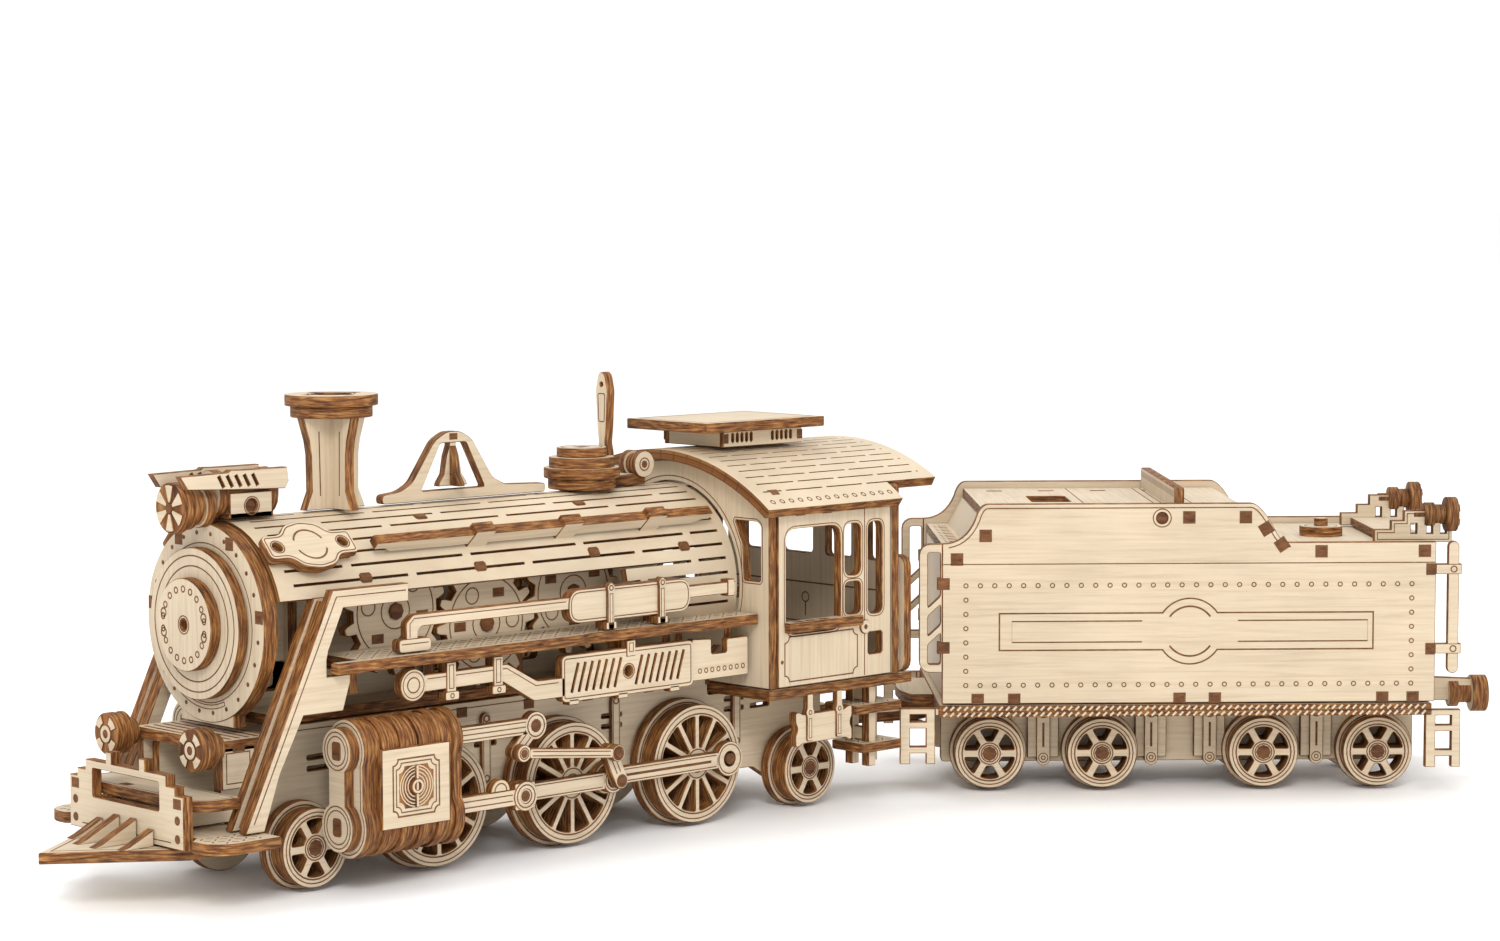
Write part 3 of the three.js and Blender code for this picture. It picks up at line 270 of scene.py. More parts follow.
# ---------------------------------------------------------------- pieces
class Piece:
    """One visible piece: boards and engraved lines in one mesh, riding on one CAD body."""

    count = 0

    def __init__(self, name, body="locomotive", base=None, slot="ply_face"):
        self.name, self.body, self.slot = name, body, slot
        self.base = base or (TENDER if body.startswith("tender") else LOCO)
        self.verts, self.faces, self.mats, self.uvs = [], [], [], []

    def _put(self, points, faces, mat, uvs):
        base = len(self.verts)
        self.verts += [Vector(p) for p in points]
        for face, uv in zip(faces, uvs):
            self.faces.append([base + i for i in face])
            self.mats.append(mat)
            self.uvs.append(uv)

    def prism(self, axis, outer, lo, hi, holes=(), ends=FACE, wall=EDGE, chamfer=CHAMFER, grain=0):
        """A board: the outline in the plane across the axis, from lo to hi along it."""
        lo, hi = min(lo, hi), max(lo, hi)
        chamfer = min(chamfer, (hi - lo) / 4)
        place = {"x": lambda a, b, c: (c, a, b), "y": lambda a, b, c: (a, c, b),
                 "z": lambda a, b, c: (a, b, c)}[axis]
        mirror = axis == "y"
        loops = [turned(outer, 1)] + [turned(h, -1) for h in holes]
        inner = [offset(l, chamfer) for l in loops] if chamfer else loops
        Piece.count += 1
        shift = (Piece.count * 0.377 % 1, Piece.count * 0.613 % 1)
        flat = [p for l in inner for p in l]
        if holes:
            raw = tessellate_polygon([[Vector((*p, 0)) for p in l] for l in inner])
            caps = []
            for i, j, k in raw:
                (ax, ay), (bx, by), (cx, cy) = flat[i], flat[j], flat[k]
                ccw = (bx - ax) * (cy - ay) - (cx - ax) * (by - ay) > 0
                caps.append((i, j, k) if ccw else (i, k, j))
        else:
            caps = [tuple(range(len(flat)))]
        for level, top in ((lo, False), (hi, True)):
            keep = top != mirror
            faces = [f if keep else f[::-1] for f in caps]
            uv = [[((flat[i][grain]) * 0.01 + shift[0], (flat[i][1 - grain]) * 0.01 + shift[1])
                   for i in f] for f in faces]
            self._put([place(*p, level) for p in flat], faces, ends, uv)
        for full, small in zip(loops, inner):
            count = len(full)
            run = [0.0]
            for p, q in zip(full, full[1:] + full[:1]):
                run.append(run[-1] + math.dist(p, q))
            if chamfer:
                rings = [(small, lo), (full, lo + chamfer), (full, hi - chamfer), (small, hi)]
            else:
                rings = [(full, lo), (full, hi)]
            points = [place(*p, level) for ring, level in rings for p in ring]
            faces, uv = [], []
            for r in range(len(rings) - 1):
                for i in range(count):
                    j = (i + 1) % count
                    quad = (r * count + i, r * count + j, (r + 1) * count + j, (r + 1) * count + i)
                    u0, u1 = run[i] * 0.01 + shift[0], run[i + 1] * 0.01 + shift[0]
                    v0, v1 = (rings[r][1] - lo) * 0.5, (rings[r + 1][1] - lo) * 0.5
                    corners = [(u0, v0 + shift[1]), (u1, v0 + shift[1]), (u1, v1 + shift[1]),
                               (u0, v1 + shift[1])]
                    faces.append(quad[::-1] if mirror else quad)
                    uv.append(corners[::-1] if mirror else corners)
            self._put(points, faces, wall, uv)

    def line(self, axis, loop, at, out, width=0.3, closed=True, mat=BURN):
        """A laser-engraved line on the face at that coordinate, whose outside is out (+1 or -1)."""
        lo, hi = at - 0.25 * out, at + 0.03 * out
        if closed:
            loop = turned(loop, 1)
            self.prism(axis, offset(loop, -width / 2), lo, hi, [offset(loop, width / 2)], mat, mat,
                       0)
        else:
            self.prism(axis, ribbon(loop, width), lo, hi, (), mat, mat, 0)

    def dot(self, axis, a, b, r, at, out):
        """A rivet: an engraved ring."""
        self.line(axis, circle(a, b, r, 12), at, out, r * 0.5)

    def discs(self, axis, a, b, rows, **how):
        """Round boards in a stack, each a (low, high, radius) row."""
        for lo, hi, r in rows:
            self.prism(axis, circle(a, b, r, 32), lo, hi, **how)

    def pin(self, axis, loop, lo, hi, chamfer=0.1):
        """A dark dowel end; the same dark disc also paints shade at the bottom of a hole."""
        self.prism(axis, loop, lo, hi, (), DARK, DARK, chamfer)

    def plug(self, axis, loop, at, out, proud=0.08):
        """The dark end of a tab that comes through a slot, with its scorched outline."""
        self.line(axis, loop, at, out, 0.3)
        self.prism(axis, inset(loop, 0.1), at - 0.5 * out, at + proud * out, (), DARK, BURN, 0.05)

    def box(self, lo, hi, thin=None, **how):
        """A straight bar or board; thin is the axis across its plies."""
        size = [h - l for l, h in zip(lo, hi)]
        k = "xyz".index(thin) if thin else size.index(min(size))
        a, b = [i for i in range(3) if i != k]
        if "grain" not in how:
            how["grain"] = 0 if size[a] > size[b] else 1
        self.prism("xyz"[k], rect(lo[a], lo[b], hi[a], hi[b]), lo[k], hi[k], **how)

    def side(self, s, outer, inner_y, depth=PLY, holes=(), **how):
        self.prism("y", outer, s * inner_y, s * (inner_y + depth), holes, **how)

    def cells(self, us, vs, solid, point, thickness):
        """A sheet of cells: those that solid(i, j) keeps, placed by point(u, v, depth)."""
        index = {}
        points = []

        def vertex(i, j, top):
            key = (i, j, top)
            if key not in index:
                index[key] = len(points)
                points.append(point(us[i], vs[j], thickness if top else 0.0))
            return index[key]

        keep = {(i, j) for i in range(len(us) - 1) for j in range(len(vs) - 1) if solid(i, j)}
        faces = {FACE: [], EDGE: []}
        uvs = {FACE: [], EDGE: []}
        for i, j in sorted(keep):
            corners = ((i, j), (i + 1, j), (i + 1, j + 1), (i, j + 1))
            uv = [(vs[q] * 0.01, us[p] * 0.01) for p, q in corners]
            faces[FACE].append([vertex(*c, True) for c in corners])
            uvs[FACE].append(uv)
            faces[FACE].append([vertex(*c, False) for c in reversed(corners)])
            uvs[FACE].append(uv[::-1])
            for c0, c1, other in ((corners[0], corners[1], (i, j - 1)),
                                  (corners[1], corners[2], (i + 1, j)),
                                  (corners[2], corners[3], (i, j + 1)),
                                  (corners[3], corners[0], (i - 1, j))):
                if other not in keep:
                    faces[EDGE].append([vertex(*c0, False), vertex(*c1, False), vertex(*c1, True),
                                        vertex(*c0, True)])
                    u0, u1 = (us[c0[0]] + vs[c0[1]]) * 0.01, (us[c1[0]] + vs[c1[1]]) * 0.01
                    uvs[EDGE].append([(u0, 0), (u1, 0), (u1, 0.7), (u0, 0.7)])
        base = len(self.verts)
        self.verts += [Vector(p) for p in points]
        for mat in (FACE, EDGE):
            for face, uv in zip(faces[mat], uvs[mat]):
                self.faces.append([base + k for k in face])
                self.mats.append(mat)
                self.uvs.append(uv)

    def build(self, *nodes):
        mesh = bpy.data.meshes.new(self.name)
        mesh.from_pydata([self.base @ (v * MM) for v in self.verts], [], self.faces)
        mesh.polygons.foreach_set("material_index", self.mats)
        mesh.polygons.foreach_set("use_smooth", [True] * len(self.faces))
        layer = mesh.uv_layers.new(name="board")
        layer.data.foreach_set("uv", [c for face in self.uvs for uv in face for c in uv])
        mesh.set_sharp_from_angle(angle=math.radians(28))
        for material in MATERIALS:
            mesh.materials.append(material)
        mesh.update()
        made = bpy.data.objects.new(self.name, mesh)
        bpy.context.scene.collection.objects.link(made)
        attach(made, self.body)
        if nodes:
            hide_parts(*nodes)
        return made


# ---------------------------------------------------------------- wheels
def windows(spec, x, z):
    """The openings between straight spokes."""
    out = []
    inner, outer = spec["hub"] + 0.4, spec["r"] - spec["rim"]
    step = 2 * math.pi / spec["spokes"]
    d0, d1 = math.asin(spec["width"] / 2 / inner), math.asin(spec["width"] / 2 / outer)
    for k in range(spec["spokes"]):
        a = k * step
        loop = arc(x, z, outer, a + d1, a + step - d1, 5) + arc(x, z, inner, a + step - d0, a + d0,
                                                                2)
        out.append(soften(loop, 0.35, 2))
    return out


def wheelset(piece, spec, x):
    z, r = spec["r"], spec["r"]
    for s in (-1, 1):
        for inner_y, radius in zip(WHEEL_BOARDS, (r + 0.8, r - 0.25, r)):
            piece.side(s, circle(x, z, radius, 56), inner_y, PLY, windows(spec, x, z))
        for radius, width in ((r - 0.75, 0.22), (r - spec["rim"] + 0.45, 0.3), (spec["hub"], 0.25)):
            piece.line("y", circle(x, z, radius), s * WHEEL_FACE, s, width)
        piece.line("y", circle(x, z, r, 56), s * 12.8, s, 0.3)
        piece.pin("y", circle(x, z, 1.5, 8), s * 16.4, s * 16.95)
        piece.line("y", circle(x, z, 1.7, 16), s * WHEEL_FACE, s, 0.25)
    piece.prism("y", circle(x, z, 1.6, 8), -16.5, 16.5, (), FACE, EDGE, 0)
    return piece


wheelset(Piece("leading_wheels", "leading_axle"), SMALL, LEADING_X).build("leading_wheelset")
wheelset(Piece("trailing_wheels", "trailing_axle"), SMALL, TRAILING_X).build("trailing_wheelset")
wheelset(Piece("front_driving_wheels", "driver_front"), DRIVER, DRIVER_X["front"]).build(
    "driver_wheelset_front")

rear = wheelset(Piece("rear_driving_wheels", "driver_rear"), DRIVER, DRIVER_X["rear"])
middle = wheelset(Piece("middle_driving_wheels", "driver_middle"), DRIVER, DRIVER_X["middle"])
mid_pin = (DRIVER_X["middle"] + CRANK[0], DRIVER["r"] + CRANK[1])
rear_pin = (DRIVER_X["rear"] + CRANK[0], DRIVER["r"] + CRANK[1])
ecc_pin = (DRIVER_X["middle"] + ECCENTRIC[0], DRIVER["r"] + ECCENTRIC[1])
side_end = LAYER["side"] + LAYER_T + GAP
cross_end = LAYER["cross"] + LAYER_T
for s in (-1, 1):
    rear.pin("y", circle(*rear_pin, 1.1, 16), s * 15.8, s * side_end)
    middle.pin("y", circle(*mid_pin, 1.1, 16), s * 15.8, s * (cross_end + 0.05))
    arm = soften(link(mid_pin, ecc_pin, 1.55), 0.1, 1)
    middle.side(s, arm, LAYER["cross"], LAYER_T)
    for p, r in ((mid_pin, 1.15), (ecc_pin, 0.75)):
        middle.line("y", circle(*p, r, 20), s * cross_end, s, 0.25)
    bar = [tuple(Vector(mid_pin).lerp(Vector(ecc_pin), t)) for t in (0.28, 0.76)]
    for shift in (-0.45, 0.45):
        middle.line("y", [(a + shift * 0.9, b + shift * 0.4) for a, b in bar], s * cross_end, s,
                    0.22, False)
    middle.pin("y", circle(*ecc_pin, 0.85, 14), s * (LAYER["cross"] + 0.5),
                 s * (LAYER["eccentric"] + LAYER_T + GAP))
rear.build("driver_wheelset_rear")
middle.build("driver_wheelset_middle")


# ---------------------------------------------------------------- rods
def rod(name, body, s, p, q, layer, half, ends, bores, slot_line=False):
    """A flat rod with two eyes, its engraved double lines and, at an open end, a pin head."""
    piece = Piece(name, body)
    top = s * (layer + LAYER_T)
    heading = math.atan2(q[1] - p[1], q[0] - p[0])
    ux, uz = math.cos(heading), math.sin(heading)

    def on(d, side):
        return (p[0] + ux * d - uz * side, p[1] + uz * d + ux * side)

    length = math.dist(p, q)
    a, b = ends[0] * 0.85, length - ends[1] * 0.85
    piece.side(s, [on(a, -half), on(b, -half), on(b, half), on(a, half)], layer, LAYER_T)
    for centre, r, bore in ((p, ends[0], bores[0]), (q, ends[1], bores[1])):
        holes = [circle(*centre, bore, 20)] if bore else []
        piece.side(s, circle(*centre, r, 36), layer, LAYER_T, holes)
        piece.line("y", circle(*centre, r - 0.55), top, s, 0.22)
        if not bore:
            piece.plug("y", circle(*centre, r * 0.42, 10), top, s)
    for side in (-half + 0.5, half - 0.5):
        piece.line("y", [on(a + 0.6, side), on(b - 0.6, side)], top, s, 0.2, False)
    if slot_line:
        piece.line("y", [on(a + 1.5, 0), on(b - 2, 0)], top, s, 0.5, False, DARK)
    piece.build(name)


for label, s in SIDES:
    rod(f"side_rod_{label}", f"side_rod_{label}", s, mid_pin, rear_pin, LAYER["side"], 1.6,
        (3, 3.4), (1.45, 1.45), True)
    rod(f"main_rod_{label}", f"main_rod_{label}", s, CROSSHEAD, mid_pin, LAYER["main"], 1.6,
        (2.4, 2.6), (0, 1.45))
    rod(f"eccentric_rod_{label}", f"eccentric_rod_{label}", s, (33.2, 20.1), ecc_pin,
        LAYER["eccentric"], 0.9, (1.6, 1.6), (0, 1.23))

    piston = Piece(f"piston_{label}", f"piston_{label}")
    cx, cz = CROSSHEAD
    piston.side(s, rect(15.5, cz - 1.5, cx - 1.5, cz + 1.5), LAYER["cross"], LAYER_T)
    for dz in (-0.55, 0.55):
        piston.line("y", [(16.5, cz + dz), (cx - 3, cz + dz)], s * cross_end, s, 0.22, False)
    block = soften(rect(cx - 2.5, cz - 2.5, cx + 2.3, cz + 2.5), 0.4, 2)
    piston.side(s, block, LAYER["cross"], LAYER_T + 0.02)
    piston.side(s, circle(cx, cz, 2.75, 32), LAYER["cross"], LAYER_T + 0.2,
                [circle(cx, cz, 1.3, 20)])
    piston.line("y", circle(cx, cz, 2.1), s * (cross_end + 0.2), s, 0.25)
    piston.side(s, arc(29.4, cz + 1.5, 2.2, 0, math.pi, 12), LAYER["cross"], LAYER_T)
    piston.line("y", arc(29.4, cz + 1.6, 1.4, 0, math.pi, 10), s * cross_end, s, 0.25, False)
    piston.pin("y", circle(cx, cz, 1.1, 10), s * LAYER["cross"], s * (cross_end + 0.1))
    piston.build(f"piston_{label}")

# ---------------------------------------------------------------- cylinders
CYL_Y, UP_Z, LOW_Z, UP_R, LOW_R = 22.9, 24.8, 11.4, 5.4, 5.8


def lobes(y, grow, waist):
    """A figure-of-eight outline in (y, z): two rounds and the neck between them."""
    upper, lower = UP_R + grow, LOW_R + grow
    a = math.acos(min(1, waist / upper))
    b = math.acos(min(1, waist / lower))
    return (arc(y, UP_Z, upper, -a, math.pi + a, 22) + arc(y, LOW_Z, lower, math.pi - b, 2 * math.pi
                                                           + b, 22))


for label, s in SIDES:
    cylinder = Piece(f"cylinder_block_{label}", slot="ply_engraved")
    y = s * CYL_Y
    for k in range(11):
        grow = 0.0 if k % 2 == 0 else -0.45
        # The piston bar slides 13 mm into the block, so the rear ribs leave room for it.
        bore = [rect(s * 22.5 - 1.2, 10.0, s * 22.5 + 1.2, 15.9
                     if k > 8 else 13.7)] if k > 2 else ()
        cylinder.prism("x", lobes(y, grow, UP_R + grow - 0.6), -5 + 2 * k, -3 + 2 * k, bore,
                       ends=EDGE if k else FACE)
    cylinder.prism("x", lobes(y, -1.3, 2.3), -7, -5)
    for z, r in ((UP_Z, UP_R - 1.3), (LOW_Z, LOW_R - 1.3)):
        for d in (0.75, 1.5):
            cylinder.line("x", circle(y, z, r - d), -7, -1, 0.22)
        cylinder.plug("x", soften(rect(y - 1.1, z - 1.5, y + 1.1, z + 1.5), 0.5, 2), -7, -1)
    cylinder.line("x", inset(lobes(y, 0, UP_R - 0.6), 0.7), -5, -1, 0.2)
    cylinder.side(s, rect(-1.7, 10.9, 13.3, 25), 26.9, 2.0)
    face = s * 28.9
    cylinder.line("y", notched(0.7, 12.9, 10.9, 23, 1.1), face, s, 0.3)
    cylinder.line("y", notched(1.4, 13.6, 10.2, 22.3, 1.1), face, s, 0.22)
    cx, cz = 5.8, 17.95
    cylinder.prism("y", notched(2.0, 14.2, 9.6, 21.7, 1.2), face - 0.25 * s, face + 0.02 * s, (),
                   EDGE, EDGE, 0)
    for r in (1.9, 2.5, 3.1, 3.6):
        cylinder.line("y", circle(cx, cz, r), face + 0.02 * s, s, 0.2, mat=FACE)
    cylinder.prism("y", rect(cx - 0.35, 14.2, cx + 0.35, 21.7), face - 0.2 * s, face + 0.4 * s)
    cylinder.prism("y", circle(cx, cz, 1.35, 24), face - 0.2 * s, face + 0.55 * s,
                   [circle(cx, cz, 0.7, 12)])
    cylinder.pin("y", circle(cx, cz, 0.6, 12), face - 0.2 * s, face + 0.3 * s, 0.05)
    cylinder.side(s, rect(16, 23, 37.8, 26), LAYER["cross"], LAYER_T)
    for dz in (-0.9, 0, 0.9):
        cylinder.line("y", [(17.4, 24.5 + dz), (35.4, 24.5 + dz)], s * cross_end, s, 0.2, False)
    cylinder.side(s, circle(37.8, 24.5, 2.6, 32), LAYER["cross"], LAYER_T + 0.02)
    cylinder.line("y", circle(37.8, 24.5, 2.0), s * (cross_end + 0.02), s, 0.25)
    cylinder.plug("y", circle(37.8, 24.5, 1.1, 10), s * (cross_end + 0.02), s)
    cylinder.side(s, link((37.8, 24.5), (33.2, 20.1), 1.4), LAYER["cross"], LAYER_T)
    for shift in (-0.6, 0.6):
        cylinder.line("y", [(36.2 + shift * 0.7, 23 - shift * 0.7), (34 + shift * 0.7,
                                                                     20.9 - shift * 0.7)],
                      s * cross_end, s, 0.2, False)
    lo, hi = span(s, 10.7, 20)
    cylinder.box((1.4, lo, 5.4), (18, hi, 21))
    cylinder.build(f"cylinder_{label}")

# ---------------------------------------------------------------- frame plates
for label, s in SIDES:
    plate = Piece(f"frame_board_{label}")
    profile = [(-30.6, 12.5), (-13, 12.5), (-11, 4), (-3.4, 4), (-1.4, 9.2), (104.6, 7.6),
               (110.4, 4), (118, 4), (123.6, 13.9), (123.6, 23.2), (92.5, 23.2), (92.5, 28),
               (-12.6, 28), (-12.6, 24.8), (-22.6, 24.8), (-22.6, 16.1), (-30.6, 16.1)]
    holes = [circle(x, DRIVER["r"], AXLE_BORE, 20) for x in DRIVER_X.values()]
    holes += [circle(x, SMALL["r"], AXLE_BORE, 20) for x in (LEADING_X, TRAILING_X)]
    holes += [rounded(x, z, x + 5.2, z + 0.8, 0.3, 2) for x in (-4, 34, 65, 97, 104)
              for z in (19.4, 21.4)]
    plate.side(s, soften(profile, 0.6, 2), 8.3, PLY, holes)
    face = s * 10.3
    for x in (36.2, 68, 99.6, 2.5):
        plate.side(s, link((x, 13.5), (x, 24.6), 1.1), 10.3, 0.9)
        plate.line("y", link((x, 13.5), (x, 24.6), 0.75), s * 11.2, s, 0.18)
        for z in (13.5, 24.6):
            plate.dot("y", x, z, 0.55, s * 11.2, s)
    for x in (30, 46, 60.5, 76, 92):
        plate.plug("y", rect(x, 25.4, x + 2.2, 27), face, s)
    plate.line("y", [(-11.5, 26.9), (91, 26.9)], face, s, 0.2, False)
    plate.build(f"frame_plate_{label}")

# ---------------------------------------------------------------- boiler cradle
FRAME_TOP = 28.0
spine_top = BOILER_Z + BOILER_R - BOILER_SKIN - GAP - 1
shoulder = BOILER_Z + 14.2
GEARS = {"front": (15.0, 46.4), "middle": (36.02, 42.4), "rear": (57.04, 46.4)}
cradle = Piece("boiler_ribs")
cradle.prism("z", rect(-12, -10.3, 92, 10.3), FRAME_TOP + GAP, FRAME_TOP + GAP + PLY)
cradle.prism("y", rect(-12, FRAME_TOP + 1, 88, spine_top), -1, 1,
             [circle(x, z, AXLE_BORE, 20) for x, z in GEARS.values()]
             + [rounded(x, 33, x + 9, 38, 1, 3) for x in (-9, 3, 26, 48, 74)])
rib = [(-8.3, FRAME_TOP + 1), (8.3, FRAME_TOP + 1), (8.3, shoulder), (4, spine_top),
       (-4, spine_top), (-8.3, shoulder)]
for x in (-2, 24.5, 45.5, 68):
    cradle.prism("x", soften(rib, 1.0, 3), x, x + PLY,
                 [rounded(sy - 2.4, 33, sy + 2.4, 56, 1.4, 3) for sy in (-4.9, 4.9)], grain=1)
for x in (-2, 72, 88):
    wing = [(-20, 34), (-17, 34), (-13, 30.2), (13, 30.2), (17, 34), (20, 34), (20, BOARD_Z - GAP),
            (-20, BOARD_Z - GAP)]
    cradle.prism("x", wing, x, x + PLY)
for x in (86, 70):
    cradle.prism("x", rect(-8, FRAME_TOP + GAP, 8, BOARD_Z - GAP), x, x + 4)
cradle.build("boiler_cradle")


# ---------------------------------------------------------------- gears
def gear_loop(x, z, phase):
    out = []
    pitch = 2 * math.pi / 14
    for k in range(14):
        for r, t in ((9.5, -0.27), (11.1, -0.17), (11.6, -0.1), (11.6, 0.1), (11.1, 0.17),
                     (9.5, 0.27)):
            a = phase + (k + t) * pitch
            out.append((x + r * math.cos(a), z + r * math.sin(a)))
    return out


def heading(p, q):
    return math.atan2(q[1] - p[1], q[0] - p[0])


pitch = 2 * math.pi / 14
first = heading(GEARS["front"], GEARS["middle"])
second = heading(GEARS["middle"], GEARS["rear"])
mid_phase = first + math.pi + pitch / 2
PHASE = {"front": first, "middle": mid_phase, "rear": second + math.pi - (mid_phase - second)
         + pitch / 2}
for label, (x, z) in GEARS.items():
    gear = Piece(f"gear_{label}_discs", f"gear_{label}")
    phase = PHASE[label]
    ring = [(x + 6.2 * math.cos(phase + k * math.pi / 3), z + 6.2 * math.sin(phase
                                                                             + k * math.pi / 3))
            for k in range(6)]
    for s in (-1, 1):
        gear.side(s, gear_loop(x, z, phase), 9.6, PLY)
        face = s * 11.6
        for r in (3.2, 8.6):
            gear.line("y", circle(x, z, r), face, s, 0.25)
        for k, p in enumerate(ring):
            if k % 2:
                gear.line("y", circle(*p, 1.5, 20), face, s, 0.25)
            else:
                gear.plug("y", rect(p[0] - 1.2, p[1] - 0.7, p[0] + 1.2, p[1] + 0.7), face, s)
        gear.pin("y", circle(x, z, 1.6, 8), s * 11, s * 12.1)
    gear.prism("y", circle(x, z, 1.6, 8), -11.2, 11.2, (), FACE, EDGE, 0)
    gear.build(f"gear_{label}")


# ---------------------------------------------------------------- boiler jacket
# A curved sheet of 25 strips; where the lowest strips begin, by their number from the top.
STRIP = math.radians(138 / 16)
SLIT = math.radians(1.7)
jacket = Piece("slit_boiler_jacket")
us = []
for row in range(-12, 13):
    a = row * STRIP
    us += [a - STRIP / 2 + SLIT / 2, a + STRIP / 2 - SLIT / 2]
us[0] -= SLIT / 2
us[-1] += SLIT / 2
JACKET_START = {9: 64.6, 10: 67.2, 11: 69.0, 12: 70.2}
JACKET_FRONT, FIRST_SLIT, LAST_SLIT, JACKET_REAR = -14.8, -12.2, 90.4, 92.6
PERIOD, BRIDGE = 27.0, 1.9
vs = {JACKET_FRONT, FIRST_SLIT, LAST_SLIT, JACKET_REAR} | set(JACKET_START.values())
for k in range(8):
    centre = FIRST_SLIT + PERIOD / 2 * k
    vs |= {v for v in (centre - BRIDGE / 2, centre + BRIDGE / 2) if -12 < v < 90}
vs = sorted(vs)


def jacket_solid(i, j):
    x = (vs[j] + vs[j + 1]) / 2
    strip = i // 2 - 12
    if i % 2 == 0:
        return x > JACKET_START.get(abs(strip), -15)
    if x < JACKET_START.get(max(abs(strip), abs(strip + 1)), -15):
        return False
    phase = ((x - FIRST_SLIT) / PERIOD + (0.5 if strip % 2 else 0.0)) % 1
    return x < FIRST_SLIT or x > LAST_SLIT or min(phase, 1 - phase) * PERIOD < BRIDGE / 2


def on_boiler(angle, x, depth):
    r = BOILER_R - BOILER_SKIN + depth
    return x, r * math.sin(angle), BOILER_Z + r * math.cos(angle)


jacket.cells(us, vs, jacket_solid, on_boiler, BOILER_SKIN)
jacket.build("boiler_jacket")


def tangent(x, angle, r=BOILER_R):
    """A frame on the boiler: its own x runs along the boiler and its z points outwards."""
    return (LOCO @ Matrix.Translation((x * MM, r * math.sin(angle) * MM,
                                       (BOILER_Z + r * math.cos(angle)) * MM))
            @ Matrix.Rotation(-angle, 4, "X"))


for label, s in SIDES:
    plaque = Piece(f"boiler_plaque_{label}", base=tangent(-6.2, s * math.radians(45.5)))
    outline = soften([(-9.5, -2.6), (-5.2, -2.6), (-3.6, -4.6), (0, -5.4), (3.6, -4.6), (5.2, -2.6),
                      (9.5, -2.6), (9.5, 2.6), (5.2, 2.6), (3.6, 4.6), (0, 5.4), (-3.6, 4.6),
                      (-5.2, 2.6), (-9.5, 2.6)], 1.2)
    plaque.prism("z", inset(outline, 0.5), 0, 1.0)
    plaque.prism("z", outline, 1.0, 2.4, [circle(7, 0, 1.0, 16), circle(-7, 0, 1.0, 16)])
    plaque.line("z", inset(outline, 0.55), 2.4, 1, 0.2)
    for c in (-7, 7):
        plaque.pin("z", circle(c, 0, 0.95, 16), 0.6, 1.4, 0)
        plaque.line("z", circle(c, 0, 1.35, 20), 2.4, 1, 0.2)
    for start in (0.35, 0.35 + math.pi):
        plaque.line("z", arc(0, 0, 3.2, start, start + math.pi - 0.7, 16), 2.4, 1, 0.35, False)
    plaque.build()

    rail_angle = s * math.radians(48)
    rail = Piece(f"boiler_handrail_{label}", base=tangent(0, rail_angle))
    rail.prism("y", soften([(7, 1.6), (9.6, 1.6), (11, 0.6), (84, 0.6), (86, 1.6), (88, 1.6),
                            (88, 3.4), (7, 3.4)], 0.4, 2), -1, 1)
    for x in (29, 50, 71):
        rail.prism("y", rect(x, -0.3, x + 4.6, 4.3), -1.15, 1.15)
    rail.build()

    tabs = Piece(f"boiler_tabs_{label}")
    for x, degrees in ((4.5, 64), (30.5, 64), (58, 62), (80.5, 64), (80.5, 40), (24, 24), (62, 24)):
        spot = tangent(x, s * math.radians(degrees))
        tab = Piece(f"boiler_tab_{label}_{len(tabs.verts)}", base=spot)
        tab.plug("z", soften(rect(-1.2, -0.8, 1.2, 0.8), 0.3, 1), 0, 1, 0.25)
        local = LOCO.inverted() @ tab.base
        start = len(tabs.verts)
        tabs.verts += [(local @ (v * MM)) / MM for v in tab.verts]
        tabs.faces += [[start + k for k in face] for face in tab.faces]
        tabs.mats += tab.mats
        tabs.uvs += tab.uvs
    tabs.build()

# ---------------------------------------------------------------- smokebox
SMOKE_Z = 46.2
smoke = Piece("smokebox_ring")
smoke.prism("x", circle(0, SMOKE_Z, 17.6, 72), -18.1, -15.1, grain=1)
for k in range(24):
    a = (k + 0.5) * math.pi / 12
    smoke.pin("x", circle(15.9 * math.cos(a), SMOKE_Z + 15.9 * math.sin(a), 0.42, 8), -17.8, -18.14,
              0)
smoke.line("x", circle(0, SMOKE_Z, 14.1), -18.1, -1, 0.2)
groove = (arc(0, SMOKE_Z, 15.2, math.radians(-112), math.radians(-48), 16)
          + arc(0, SMOKE_Z, 14.5, math.radians(-48), math.radians(-112), 16))
smoke.line("x", groove, -18.1, -1, 0.18)
for a in (62, 118, 8, 172):
    c, d = 16.3 * math.cos(math.radians(a)), 16.3 * math.sin(math.radians(a))
    smoke.plug("x", rect(c - 1, SMOKE_Z + d - 1, c + 1, SMOKE_Z + d + 1), -18.1, -1)
smoke.prism("x", rect(-8, FRAME_TOP + GAP, 8, SMOKE_Z - 8), -17.9, -15.3, grain=1)
smoke.build("smokebox_front")

door = Piece("smokebox_door_discs")
door.prism("x", circle(0, SMOKE_Z, 13.4, 64), -20.4, -18.4, grain=1)
for r in (12.0, 10.2):
    door.line("x", circle(0, SMOKE_Z, r), -20.4, -1, 0.25)
door.prism("x", circle(0, SMOKE_Z, 8.2, 48), -22.6, -20.4, [circle(0, SMOKE_Z, 0.9, 16)], grain=1)
for r in (1.6, 1.15):
    door.line("x", circle(0, SMOKE_Z, r, 24), -22.6, -1, 0.22)
for k in range(18):
    a = (k + 0.5) * math.pi / 9
    door.dot("x", 6.3 * math.cos(a), SMOKE_Z + 6.3 * math.sin(a), 0.52, -22.6, -1)
for a in (-0.28, 0.28, math.pi - 0.28, math.pi + 0.28):
    door.line("x", circle(6.3 * math.cos(a), SMOKE_Z + 6.3 * math.sin(a), 0.75, 14), -22.6, -1, 0.3)
door.build("smokebox_door")

